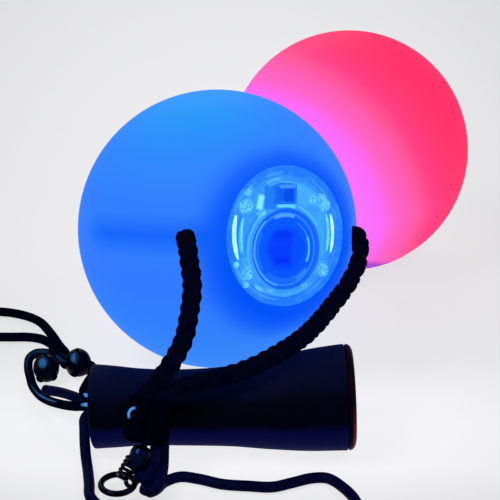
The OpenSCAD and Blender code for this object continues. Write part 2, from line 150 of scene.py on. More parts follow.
def catmull(p, step):
    """A smooth line through the points (centripetal), resampled about every step millimetres."""
    p = [Vector(q) for q in p]
    pts = []
    n = len(p)
    for i in range(n - 1):
        p0 = p[i - 1] if i else p[0] * 2 - p[1]
        p1, p2 = p[i], p[i + 1]
        p3 = p[i + 2] if i + 2 < n else p[-1] * 2 - p[-2]
        t0 = 0.0
        t1 = t0 + max((p1 - p0).length, 1e-6) ** 0.5
        t2 = t1 + max((p2 - p1).length, 1e-6) ** 0.5
        t3 = t2 + max((p3 - p2).length, 1e-6) ** 0.5
        k = max(2, int((p2 - p1).length / (step * 0.25)))
        for j in range(k):
            t = t1 + (t2 - t1) * j / k
            a1 = p0 * ((t1 - t) / (t1 - t0)) + p1 * ((t - t0) / (t1 - t0))
            a2 = p1 * ((t2 - t) / (t2 - t1)) + p2 * ((t - t1) / (t2 - t1))
            a3 = p2 * ((t3 - t) / (t3 - t2)) + p3 * ((t - t2) / (t3 - t2))
            b1 = a1 * ((t2 - t) / (t2 - t0)) + a2 * ((t - t0) / (t2 - t0))
            b2 = a2 * ((t3 - t) / (t3 - t1)) + a3 * ((t - t1) / (t3 - t1))
            pts.append(b1 * ((t2 - t) / (t2 - t1)) + b2 * ((t - t1) / (t2 - t1)))
    pts.append(p[-1])
    total = sum((pts[i + 1] - pts[i]).length for i in range(len(pts) - 1))
    m = max(2, int(round(total / step)))
    out, want, run, i = [pts[0]], total / m, 0.0, 0
    target = want
    while len(out) < m and i < len(pts) - 1:
        d = (pts[i + 1] - pts[i]).length
        if run + d >= target - 1e-9:
            out.append(pts[i].lerp(pts[i + 1], (target - run) / d if d else 0))
            target += want
        else:
            run += d
            i += 1
    out.append(pts[-1])
    return out


def frames(line):
    """Tangent, normal and binormal carried along the line without twisting."""
    n = len(line)
    t = [(line[min(i + 1, n - 1)] - line[max(i - 1, 0)]).normalized() for i in range(n)]
    ref = Vector((0, 0, 1)) if abs(t[0].z) < 0.8 else Vector((1, 0, 0))
    u = (ref - t[0] * ref.dot(t[0])).normalized()
    out = []
    for i in range(n):
        u = (u - t[i] * u.dot(t[i])).normalized()
        out.append((t[i], u, t[i].cross(u)))
    return out


def tube_data(line, radius, sides, verts, faces, ellipse=None, cap=True):
    """Adds a tube along the line (in mm) to verts and faces. radius is a number or a function of the index."""
    fr = frames(line)
    base = len(verts)
    for i, p in enumerate(line):
        r = radius(i) if callable(radius) else radius
        t, u, b = fr[i]
        if ellipse:
            u, b, ru, rb = ellipse(i, t, u, b)
        else:
            ru = rb = r
        for j in range(sides):
            a = 2 * math.pi * j / sides
            verts.append(W(p + u * (ru * math.cos(a)) + b * (rb * math.sin(a))))
    n = len(line)
    for i in range(n - 1):
        for j in range(sides):
            a, b2 = base + i * sides + j, base + i * sides + (j + 1) % sides
            faces.append((a, b2, b2 + sides, a + sides))
    if cap:
        faces.append(tuple(base + j for j in range(sides - 1, -1, -1)))
        faces.append(tuple(base + (n - 1) * sides + j for j in range(sides)))


def lathe(profile, p, m, segments=96, verts=None, faces=None, closed=True):
    """Turns a profile of (radius, height) about the third axis of m at p. A radius of 0 makes a pole."""
    verts = [] if verts is None else verts
    faces = [] if faces is None else faces
    rows = []
    for r, h in profile:
        if r < 1e-6:
            rows.append([len(verts)])
            verts.append(W(put(p, m, (0, 0, h))))
        else:
            rows.append(list(range(len(verts), len(verts) + segments)))
            for j in range(segments):
                a = 2 * math.pi * j / segments
                verts.append(W(put(p, m, (r * math.cos(a), r * math.sin(a), h))))
    pairs = list(zip(rows, rows[1:])) + ([(rows[-1], rows[0])] if closed and len(rows[0]) > 1 else [])
    for a, b in pairs:
        for j in range(segments):
            k = (j + 1) % segments
            if len(a) == 1 and len(b) == 1:
                continue
            if len(a) == 1:
                faces.append((a[0], b[k], b[j]))
            elif len(b) == 1:
                faces.append((a[j], a[k], b[0]))
            else:
                faces.append((a[j], a[k], b[k], b[j]))
    return verts, faces


def fix_normals(ob):
    bm = bmesh.new()
    bm.from_mesh(ob.data)
    bmesh.ops.recalc_face_normals(bm, faces=bm.faces)
    bm.to_mesh(ob.data)
    bm.free()
    return ob


def arc(cx, cy, r, a0, a1, n):
    return [(cx + r * math.cos(math.radians(a0 + (a1 - a0) * i / n)), cy + r * math.sin(math.radians(a0 + (a1 - a0) * i / n))) for i in range(n + 1)]


# ------------------------------------------------------------------ material helpers
def material(name):
    m = bpy.data.materials.new(name)
    m.use_nodes = True
    nt = m.node_tree
    nt.nodes.clear()
    out = nt.nodes.new("ShaderNodeOutputMaterial")
    b = nt.nodes.new("ShaderNodeBsdfPrincipled")
    nt.links.new(b.outputs[0], out.inputs[0])
    return m, nt, b


def node(nt, kind, **kw):
    n = nt.nodes.new(kind)
    for k, v in kw.items():
        setattr(n, k, v)
    return n


def lin(c):
    """sRGB 0-255 to linear."""
    out = []
    for v in c:
        v = v / 255
        out.append(v / 12.92 if v <= 0.04045 else ((v + 0.055) / 1.055) ** 2.4)
    return tuple(out) + (1,)


def ramp(nt, stops, mode="LINEAR"):
    r = nt.nodes.new("ShaderNodeValToRGB")
    r.color_ramp.interpolation = mode
    el = r.color_ramp.elements
    while len(el) < len(stops):
        el.new(0.5)
    for e, (pos, col) in zip(el, stops):
        e.position = pos
        e.color = col
    return r


def coords(nt, scale=1000.0, vec=(1, 1, 1)):
    t = node(nt, "ShaderNodeTexCoord")
    mp = node(nt, "ShaderNodeMapping")
    mp.inputs["Scale"].default_value = (scale * vec[0], scale * vec[1], scale * vec[2])
    nt.links.new(t.outputs["Object"], mp.inputs["Vector"])
    return mp.outputs[0]


def noise_tex(nt, vec, scale, detail=4, rough=0.55):
    n = node(nt, "ShaderNodeTexNoise")
    n.inputs["Scale"].default_value = scale
    n.inputs["Detail"].default_value = detail
    n.inputs["Roughness"].default_value = rough
    nt.links.new(vec, n.inputs["Vector"])
    return n.outputs[0]


def bump(nt, b, height, strength=0.3, distance=0.0002, before=None):
    n = node(nt, "ShaderNodeBump")
    n.inputs["Strength"].default_value = strength
    n.inputs["Distance"].default_value = distance
    nt.links.new(height, n.inputs["Height"])
    if before is not None:
        nt.links.new(before, n.inputs["Normal"])
    nt.links.new(n.outputs[0], b.inputs["Normal"])
    return n.outputs[0]


def map_range(nt, val, a, b, c, d):
    n = node(nt, "ShaderNodeMapRange")
    for k, v in (("From Min", a), ("From Max", b), ("To Min", c), ("To Max", d)):
        n.inputs[k].default_value = v
    nt.links.new(val, n.inputs["Value"])
    return n.outputs[0]


def dot_dir(nt, centre, direction):
    """cos of the angle between direction and the way from centre to the surface point."""
    t = node(nt, "ShaderNodeTexCoord")
    s = node(nt, "ShaderNodeVectorMath", operation="SUBTRACT")
    nt.links.new(t.outputs["Object"], s.inputs[0])
    s.inputs[1].default_value = W(centre)
    nz = node(nt, "ShaderNodeVectorMath", operation="NORMALIZE")
    nt.links.new(s.outputs[0], nz.inputs[0])
    d = node(nt, "ShaderNodeVectorMath", operation="DOT_PRODUCT")
    nt.links.new(nz.outputs[0], d.inputs[0])
    d.inputs[1].default_value = Vector(direction).normalized()
    return d.outputs["Value"]


def mix(nt, fac, a, b, mode="MIX"):
    n = node(nt, "ShaderNodeMix", data_type="RGBA", blend_type=mode)
    for sock, v in ((n.inputs["Factor"], fac), (n.inputs["A"] if False else n.inputs[6], a), (n.inputs[7], b)):
        if isinstance(v, (int, float)):
            sock.default_value = v
        elif isinstance(v, tuple):
            sock.default_value = v
        else:
            nt.links.new(v, sock)
    return n.outputs[2]


def math_node(nt, op, a, b=None):
    n = node(nt, "ShaderNodeMath", operation=op)
    for i, v in enumerate((a, b)):
        if v is None:
            continue
        if isinstance(v, (int, float)):
            n.inputs[i].default_value = v
        else:
            nt.links.new(v, n.inputs[i])
    return n.outputs[0]


def black_cord(name, base=(0.006, 0.008, 0.02, 1), rough=0.5, scale=1.0, spec=0.25, sheen=0.0, painted_ball_glow=None, painted_highlight_line=None, painted_highlight_patch=False):
    m, nt, b = material(name)
    v = coords(nt)
    n1 = noise_tex(nt, v, 0.35 * scale, 3)
    n2 = noise_tex(nt, v, 3.2 * scale, 5, 0.7)
    col = mix(nt, map_range(nt, n1, 0.3, 0.7, 0, 1), base, tuple(c * 2.1 for c in base[:3]) + (1,))
    nt.links.new(col, b.inputs["Base Color"])
    nt.links.new(map_range(nt, n2, 0.2, 0.8, rough - 0.12, rough + 0.15), b.inputs["Roughness"])
    b.inputs["Specular IOR Level"].default_value = spec
    if sheen:
        b.inputs["Sheen Weight"].default_value = sheen
        b.inputs["Sheen Roughness"].default_value = 0.5
        b.inputs["Sheen Tint"].default_value = (0.25, 0.4, 1, 1)
    if painted_ball_glow:
        # painted light: the faint navy that the lit balls leave on the fibres, painted in as a glow
        b.inputs["Emission Strength"].default_value = 1.0
        glow = mix(nt, map_range(nt, n1, 0.35, 0.65, 0, 1), tuple(c * 0.5 for c in painted_ball_glow[:3]) + (1,), painted_ball_glow)
        # painted highlight: a light-blue glow where the surface faces up and to the left
        if painted_highlight_patch:
            g = node(nt, "ShaderNodeNewGeometry")
            d = node(nt, "ShaderNodeVectorMath", operation="DOT_PRODUCT")
            nt.links.new(g.outputs["Normal"], d.inputs[0])
            d.inputs[1].default_value = Vector((-0.2, -0.62, 0.76)).normalized()
            glow = mix(nt, map_range(nt, d.outputs["Value"], 0.90, 0.985, 0, 0.8), glow, (0.03, 0.12, 0.34, 1))
        # painted highlight: a blue line where the cord faces up and to the left, only within about three centimetres of
        # a point by the blue grip's end
        if painted_highlight_line:
            g = node(nt, "ShaderNodeNewGeometry")
            d = node(nt, "ShaderNodeVectorMath", operation="DOT_PRODUCT")
            nt.links.new(g.outputs["Normal"], d.inputs[0])
            d.inputs[1].default_value = Vector(painted_highlight_line[0]).normalized()
            t = node(nt, "ShaderNodeTexCoord")
            near = node(nt, "ShaderNodeVectorMath", operation="DISTANCE")
            nt.links.new(t.outputs["Object"], near.inputs[0])
            near.inputs[1].default_value = W((-39.5, -42.5, 7))
            edge = math_node(nt, "MULTIPLY", map_range(nt, d.outputs["Value"], 0.86, 0.96, 0, 1), map_range(nt, near.outputs["Value"], 0.022, 0.012, 0.08, 1))
            far = map_range(nt, near.outputs["Value"], 0.036, 0.028, 0, 1)
            glow = mix(nt, math_node(nt, "MULTIPLY", edge, far), glow, painted_highlight_line[1])
        nt.links.new(glow, b.inputs["Emission Color"])
    bump(nt, b, n2, 0.35, 0.00012)
    return m


def metal(name, base, rough, spec=0.5, metallic=1.0):
    m, nt, b = material(name)
    v = coords(nt)
    n1 = noise_tex(nt, v, 0.6, 4, 0.6)
    n2 = noise_tex(nt, v, 4.0, 2, 0.5)
    col = mix(nt, map_range(nt, n1, 0.35, 0.65, 0, 1), tuple(c * 0.8 for c in base) + (1,), tuple(base) + (1,))
    nt.links.new(col, b.inputs["Base Color"])
    nt.links.new(map_range(nt, n1, 0.3, 0.7, rough * 0.8, rough * 1.3), b.inputs["Roughness"])
    b.inputs["Metallic"].default_value = metallic
    b.inputs["Specular IOR Level"].default_value = spec
    bump(nt, b, n2, 0.08, 0.00005)
    return m


def glow_plastic(name, low, high, strength=1.0, base=None, rough=0.25, spec=0.08, alpha=1.0, scale=0.25, coat=0.0):
    """Clear plastic lit from inside: its colour comes from within, its gloss from the surface."""
    m, nt, b = material(name)
    v = coords(nt)
    n1 = noise_tex(nt, v, scale, 3, 0.6)
    col = mix(nt, map_range(nt, n1, 0.35, 0.65, 0, 1), lin(low), lin(high))
    nt.links.new(col, b.inputs["Emission Color"])
    b.inputs["Emission Strength"].default_value = strength
    b.inputs["Base Color"].default_value = base or (0.0, 0.006, 0.016, 1)
    nt.links.new(map_range(nt, n1, 0.3, 0.7, rough * 0.8, rough * 1.2), b.inputs["Roughness"])
    b.inputs["Specular IOR Level"].default_value = spec
    b.inputs["Alpha"].default_value = alpha
    if coat:
        b.inputs["Coat Weight"].default_value = coat
        b.inputs["Coat Roughness"].default_value = 0.05
    return m


def set_mat(ob, m):
    if len(ob.data.materials):
        for i in range(len(ob.data.materials)):
            ob.data.materials[i] = m
    else:
        ob.data.materials.append(m)


def add(ob, m, body, slot_name, *nodes):
    set_mat(ob, m)
    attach(ob, body)
    if nodes:
        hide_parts(*nodes)
    return ob


# ------------------------------------------------------------------ cord materials
M_BRIDLE = black_cord("braided_cord", (0.0001, 0.0002, 0.002, 1), 0.6, 1.0, 0.003, painted_ball_glow=(0.0002, 0.0006, 0.0055, 1))
M_LEASH = black_cord("thin_cord", (0.0001, 0.0004, 0.005, 1), 0.4, 1.0, 0.008, painted_ball_glow=(0.0002, 0.0007, 0.011, 1))
M_LOOP = black_cord("waxed_cord", (0.0001, 0.0002, 0.001, 1), 0.3, 0.7, 0.0, painted_ball_glow=(0.0001, 0.0004, 0.005, 1), painted_highlight_line=((-0.25, -0.61, 0.75), (0.07, 0.32, 0.8, 1)))

# ------------------------------------------------------------------ cord routes, the same points as the frame's (mm)
HOLE_IN = [(-27.8, 0, 28.7), (-24.5, 0, 24), (-20.5, 0, 18.8), (-11, 0, 14), (0, 0, 12.8), (11, 0, 14), (20.5, 0, 18.8), (24.5, 0, 24), (27.8, 0, 28.7)]
BLUE_BRIDLE = ([put(BF_P, BF_M, (-2.6, 0, 4.5)), put(BF_P, BF_M, (-2.6, 0, -5.5)), (-14.8, -61.2, 24), (-10.4, -58.2, 29), (-7.4, -55, 34), (-6, -53, 40),
                (-5.2, -50, 46), (-6, -46, 52), (-6.9, -41, 55)]
               + [put(BLUE_C, BLUE_M, q) for q in HOLE_IN]
               + [(40.0, -11.2, 42.6), (39.9, -16.2, 38.8), (36.6, -23.6, 34.6), (31.9, -30.8, 31.6), (27.1, -39.2, 30), (22.2, -46.8, 29.3), (16.4, -52.6, 28.4),
                  (9.4, -56, 26.3), (1.7, -58.5, 24.8), (-6, -60.5, 23.8), put(BF_P, BF_M, (2.6, 0, -5.5)), put(BF_P, BF_M, (2.6, 0, 4.5))])
RED_BRIDLE = ([put(RF_P, RF_M, (2.6, 0, 4.5)), put(RF_P, RF_M, (2.6, 0, -5.5)), (22, 116.5, 3), (33, 113, 2.4), (45, 112.6, 2.4), (56, 109, 2.4), (64, 104, 2.6), (66, 99, 4.4), (64.5, 95.8, 7.8)]
              + [put(RED_C, RED_M, q) for q in HOLE_IN]
              + [(29, 42.4, 2.8), (22, 42, 2.4), (13, 46, 2.4), (5, 54, 2.4), (-1, 64, 2.4), (-4, 76, 2.4), (-4, 89, 2.4), (0, 101, 2.4), (6.5, 112, 2.6),
                 put(RF_P, RF_M, (-2.6, 0, -5.5)), put(RF_P, RF_M, (-2.6, 0, 4.5))])


def braid(name, pts, d, lay, body, nodes, slot_name):
    """A round four-strand braid: two strands turn each way and pass over and under each other."""
    line = catmull(pts, 0.55)
    fr = frames(line)
    step = sum((line[i + 1] - line[i]).length for i in range(len(line) - 1)) / (len(line) - 1)
    verts, faces = [], []
    rs = d * 0.255
    rc = d / 2 - rs * 1.0
    for k in range(4):
        sign = 1 if k % 2 == 0 else -1
        phase = (k // 2) * math.pi + (0 if sign > 0 else math.pi / 2)
        strand = []
        for i, p in enumerate(line):
            a = sign * 2 * math.pi * (i * step) / lay + phase
            t, u, b = fr[i]
            over = math.cos(2 * math.pi * 2 * (i * step) / lay + (0 if sign > 0 else math.pi))
            r = rc * (1 + 0.34 * over)
            strand.append(p + u * (r * math.cos(a)) + b * (r * math.sin(a)))

        def flat(i, t, u, b, strand=strand):
            out = (strand[i] - line[i])
            out = (out - t * out.dot(t)).normalized()
            return out, t.cross(out), rs * 0.95, rs * 1.1

        tube_data(strand, rs, 8, verts, faces, ellipse=flat)
    verts = [(v[0], v[1], max(v[2], 0.00003)) for v in verts]
    ob = link(name, verts=verts, faces=faces)
    add(ob, M_BRIDLE, body, slot_name, *nodes)
    length = sum((line[i + 1] - line[i]).length for i in range(len(line) - 1)) * MM
    return ob, length


def round_cord(name, pts, d, mat, body, nodes, slot_name, step=0.7, sides=12):
    line = catmull(pts, step)
    verts, faces = [], []
    n = len(line)
    tube_data(line, d / 2, sides, verts, faces)
    ob = link(name, verts=verts, faces=faces)
    add(ob, mat, body, slot_name, *nodes)
    length = sum((line[i + 1] - line[i]).length for i in range(n - 1)) * MM
    return ob, length


def coil_points(c, r_out, r_in, a0, turns, way, z0, z1, per=16):
    """Points of a flat coil: the first turn outside, the second inside it, the rest on top between them."""
    pts = []
    n = int(turns * per)
    for i in range(n + 1):
        s = i / per
        a = math.radians(a0 + way * 360 * s)
        if s < 0.9:
            r, z = r_out, z0
        elif s < 1.1:
            t = (s - 0.9) / 0.2
            r, z = r_out + (r_in - r_out) * t, z0
        elif s < 1.85:
            r, z = r_in, z0
        elif s < 2.15:
            t = (s - 1.85) / 0.3
            r, z = r_in + ((r_in + r_out) / 2 - r_in) * t, z0 + (z1 - z0) * t
        else:
            r, z = (r_in + r_out) / 2, z1
        pts.append((c[0] + r * math.cos(a), c[1] + r * math.sin(a), z))
    return pts


lengths = {}
ob, lengths["blue_bridle"] = braid("blue_bridle_braid", BLUE_BRIDLE, 4.6, 12, "root", ["blue_bridle_cord"], "bridle_braid")
ob, lengths["red_bridle"] = braid("red_bridle_braid", RED_BRIDLE, 4.6, 12, "red_poi", ["red_bridle_cord"], "bridle_braid")


# knots: a small trefoil of the leash cord around the ring
def knot(name, c, m, size, r, body, nodes):
    pts = []
    for i in range(61):
        t = 2 * math.pi * i / 60
        q = ((math.sin(t) + 2 * math.sin(2 * t)) * size / 3, (math.cos(t) - 2 * math.cos(2 * t)) * size / 3, -math.sin(3 * t) * size * 0.42)
        pts.append(put(c, m, q))
    verts, faces = [], []
    tube_data(catmull(pts, 0.5), r, 10, verts, faces, cap=True)
    return add(link(name, verts=verts, faces=faces), M_LEASH, body, "leash_cord", *nodes)


BK = Vector((-15.2, -73, 3.9))
RK = put(RS_P, RS_M, (-0.45, 0, 18.6))
blue_knot = knot("blue_leash_knot_tied", BK, basis((0.1, -0.2, 1), (1, 0.3, 0)), 3.3, 1.5, "root", ["blue_leash_knot"])
red_knot = knot("red_leash_knot_tied", RK, basis((0, 0.1, 1), (1, 0.3, 0)), 2.9, 1.4, "red_poi", ["red_leash_knot"])

BLUE_LEASH = ([(-17, -72.4, 3.6), (-15.4, -69.4, 5.6), (-14.5, -65.6, 9), (-14.1, -62.2, 11.8), (-12.9, -61.2, 10.6), (-12.7, -63.6, 5.8), (-12.8, -66.8, 2.8), (-13.4, -71, 2), (-15.6, -74.6, 2.4), (-16.9, -76.6, 3.6), (-15.6, -77.2, 3.4), (-14.2, -75, 2.2)]
              + [(-12.2, -70.6, 1.5), (-8.4, -68.2, 1.45), (-3.4, -69.2, 1.45), (2.4, -71.4, 1.45), (9, -72.2, 1.45), (15, -72.6, 1.45), (20, -70.8, 1.45),
                 (25, -68.8, 1.45), (29, -68.8, 1.45), (32.5, -72.4, 1.45), (35.5, -78.5, 1.45), (36, -86, 1.45), (34, -93, 1.45)]
              + coil_points((14, -103), 17.3, 14.5, 12, 2.47, -1, 1.45, 4.15)[1:]
              + [(-4.4, -99.8, 4.2), (-7.4, -93, 3.3), (-10.6, -88.2, 1.9), (-14.6, -84.6, 1.45), (-20, -83, 1.45), (-26.6, -81.4, 1.45), (-30.2, -77, 1.45), (-31.2, -71, 1.45),
                 (-32.3, -64.6, 1.5), (-33.2, -60.2, 2.2), (-33.8, -56.6, 4.2), (-34.1, -53.6, 6.4), (-34.2, -51.4, 8.2), (-33, -50.1, 9.1), (-30.6, -49.6, 9.4), (-29.4, -48.4, 10), (-31.2, -47.4, 10.6),
                 (-34, -46.6, 10.6), (-37.4, -43.8, 10.2), (-41.7, -39.4, 8.9), (-47, -35.2, 7.3)])
RED_LEASH = ([(-3.6, 146.4, 2.2), (-4, 149, 1.8), (-2, 151, 1.5), (3, 152.4, 1.45), (12, 149, 1.45), (22, 143.6, 1.45), (32, 137, 1.45), (42, 131, 1.45), (50, 129, 1.45)]
             + coil_points((58, 146), 17.3, 14.5, -90, 2.47, 1, 1.45, 4.15)
             + [(53, 161.6, 4.2), (46, 162.6, 3.2), (38, 163.8, 1.7), (28, 164.6, 1.45), (17, 165, 1.45), (9, 166.4, 1.5), (5.8, 170, 3.2), (4.6, 174, 6.4), (5.4, 177, 8.8), (7.6, 177.9, 9.2), (12, 178, 9.3)])
ob, lengths["blue_leash"] = round_cord("blue_leash", BLUE_LEASH, 2.8, M_LEASH, "root", ["blue_leash_cord", "blue_leash_coil"], "leash_cord")
ob, lengths["red_leash"] = round_cord("red_leash", RED_LEASH, 2.8, M_LEASH, "red_poi", ["red_leash_cord", "red_leash_coil"], "leash_cord")

BLUE_NECK = [(-28.6, -51.9, 12.7), (-33.2, -51.9, 12.4), (-35.8, -49.2, 10.7), (-38, -45, 8.1), (-41.8, -40.4, 5.8), (-45.8, -36, 4.2), (-49.2, -31.5, 3.3), (-51.9, -26.3, 3),
             (-53.6, -20.8, 3.2), (-54.7, -16.6, 3.8), (-54.6, -14, 5.2), (-52.8, -13.6, 6.5), (-49.8, -14.4, 7.2), (-46.8, -14.4, 6.2), (-44.4, -15.6, 4.8), (-40.3, -15.4, 4.35), (-36.8, -16.4, 4.3),
             (-35.2, -20.6, 4.9), (-34.9, -27.6, 7.2), (-35.2, -36, 9.8), (-35.2, -43.6, 11.6), (-33.4, -47.6, 12.6), (-28.6, -48.1, 12.7)]
RED_NECK = [(13.4, 176.1, 12.7), (8.6, 176.1, 12.6), (4.6, 175, 11.4), (-2, 173, 7), (-9, 171.8, 4.2), (-15, 173, 4.3), (-18.4, 177.2, 4.35), (-18.4, 184.4, 4.35),
            (-14.6, 188.2, 4.3), (-8.6, 187.2, 4.6), (-1.6, 184.4, 7), (4.2, 181.4, 10.6), (8.6, 179.9, 12.6), (13.4, 179.9, 12.7)]
ob, lengths["blue_neck_loop"] = round_cord("blue_neck_loop_cord", BLUE_NECK, 2.6, M_LOOP, "root", ["blue_neck_loop"], "loop_cord")
ob, lengths["red_neck_loop"] = round_cord("red_neck_loop_cord", RED_NECK, 2.6, M_LOOP, "red_poi", ["red_neck_loop"], "loop_cord")


M_KNOB = black_cord("waxed_knot", (0.0001, 0.0002, 0.001, 1), 0.25, 0.7, 0.02, painted_ball_glow=(0.0001, 0.0004, 0.005, 1), painted_highlight_patch=True)


def hitched(c, m):
    """A round turn and a half each side of a cow hitch, on a bar along m[0] with the loop leaving along m[1]."""
    a = [(1.2, 6.6, -1.2), (1.5, 4.2, -2.2)]
    for i in range(22):
        t = i / 21
        x, ang = 2.5 + 4.2 * t, math.radians(-38 - 450 * t)
        r = 2.85 * (1 - 0.35 * ((x - 4.7) / 3.3) ** 2)
        a.append((x, r * math.cos(ang), r * math.sin(ang)))
    a += [(6.0, -1.2, 0.6), (4.7, 0.6, 0.2), (2.6, 2.2, 0.6), (0, 3.2, 1.4)]
    one = [put(c, m, q) for q in a]
    two = [put(c, m, (-q[0], q[1], q[2])) for q in a[::-1]][1:]
    return one, two


def knob(name, c, m, x, body):
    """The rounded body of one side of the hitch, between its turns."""
    prof = [(0, -3.7)] + [(4.15 * math.cos(math.radians(t)), 3.7 * math.sin(math.radians(t))) for t in range(-80, 81, 10)] + [(0, 3.7)]
    ax = [m[1], m[2], m[0]]
    verts, faces = lathe(prof, put(c, m, (x, 0, 0)), ax, 40, closed=False)
    return add(fix_normals(link(name, verts=verts, faces=faces)), M_KNOB, body, "loop_cord")


BH, BH_M = Vector((-44.8, -16.6, 4.35)), basis((0, 0, 1), (0.945, 0.326, 0))
a, b = hitched(BH, BH_M)
BLUE_FINGER = ([b[-1], (-48.4, -6.4, 2.6), (-50.4, 0.2, 1.8), (-54.2, 4.2, 1.4), (-58.6, 5.4, 1.35), (-63, 5.4, 1.35), (-68, 5.4, 1.35), (-75, 4.6, 1.35), (-81.5, 6, 1.35), (-84.4, 11, 1.35),
               (-82.6, 17.4, 1.35), (-77, 21.6, 1.35), (-69.7, 22, 1.35), (-62.6, 20, 1.35), (-56.6, 15.8, 1.35), (-51.8, 8, 1.4), (-47.8, -0.8, 1.8), (-45.2, -6.8, 2.5)] + a + b[:-1])
RH, RH_M = Vector((-18.4, 181, 4.35)), [Vector((0, 1, 0)), Vector((-1, 0, 0)), Vector((0, 0, 1))]
a, b = hitched(RH, RH_M)
RED_FINGER = ([b[-1], (-27.6, 178.4, 1.5), (-31.6, 178, 1.35), (-34.4, 183, 1.35), (-34, 190, 1.35), (-30, 196.4, 1.35), (-22, 198.6, 1.35), (-12, 198.4, 1.35),
              (-5, 195.6, 1.35), (-4.6, 191.6, 1.35), (-12, 191.6, 1.35), (-21, 191.6, 1.35), (-26.6, 189.6, 1.35), (-27.9, 185.4, 1.6)] + a + b[:-1])
for q, (c, m, body) in (("blue", (BH, BH_M, "root")), ("red", (RH, RH_M, "red_poi"))):
    knob(q + "_hitch_left", c, m, -4.7, body)
    knob(q + "_hitch_right", c, m, 4.7, body)
ob, lengths["blue_finger_loop"] = round_cord("blue_finger_loop_cord", [(q[0], q[1], max(q[2], 1.5)) for q in BLUE_FINGER], 2.8, M_LOOP, "root", ["blue_finger_loop", "blue_finger_hitch"], "loop_cord", step=0.5)
ob, lengths["red_finger_loop"] = round_cord("red_finger_loop_cord", [(q[0], q[1], max(q[2], 1.5)) for q in RED_FINGER], 2.8, M_LOOP, "red_poi", ["red_finger_loop", "red_finger_hitch"], "loop_cord", step=0.5)


# ------------------------------------------------------------------ balls
def ball_skin(name, c, m, mat, body, node_name, slot_name):
    R, wall, rec, seat, col_r, col_o, col_z = 40.0, 3.2, 19.1, 32.9, 17.8, 19.8, 26.5
    a_lip = math.degrees(math.asin(rec / R))
    prof = []
    # outside from the back pole to the lip
    for i in range(0, 91):
        th = 180 - (180 - a_lip - 1.2) * i / 90
        prof.append((R * math.sin(math.radians(th)), R * math.cos(math.radians(th))))
    lip_w = R * math.cos(math.radians(a_lip))
    prof += [(rec + 0.45, lip_w - 0.02), (rec + 0.15, lip_w - 0.1), (rec, lip_w - 0.35), (rec, seat), (col_r, seat), (col_r, col_z + 0.3), (col_r + 0.3, col_z), (col_o, col_z)]
    ri = R - wall
    z_in = math.sqrt(ri * ri - (col_o + 0.2) ** 2)
    prof += [(col_o + 0.2, z_in - 0.6)]
    a_in = math.degrees(math.atan2(col_o + 1.0, z_in - 0.4))
    for i in range(0, 61):
        th = a_in + (180 - a_in) * i / 60
        prof.append((ri * math.sin(math.radians(th)), ri * math.cos(math.radians(th))))
    verts, faces = lathe(prof, c, m, 160, closed=False)
    ob = link(name, verts=verts, faces=faces, sharp=50)
    holes = [put(c, m, (s * 27.8, 0, 28.7)) for s in (-1, 1)]
    inward = [(h - c).normalized() for h in holes]
    for v in ob.data.vertices:
        p = Vector((v.co.x / MM - OX, v.co.y / MM - OY, v.co.z / MM))
        if (p - c).length < R - 0.5:
            continue
        for h, n in zip(holes, inward):
            d = (p - h).length
            if d < 6.5:
                pull = 1.3 * (0.5 + 0.5 * math.cos(math.pi * d / 6.5)) ** 1.6
                v.co -= n * pull * MM
    fix_normals(ob)
    return add(ob, mat, body, slot_name, node_name)


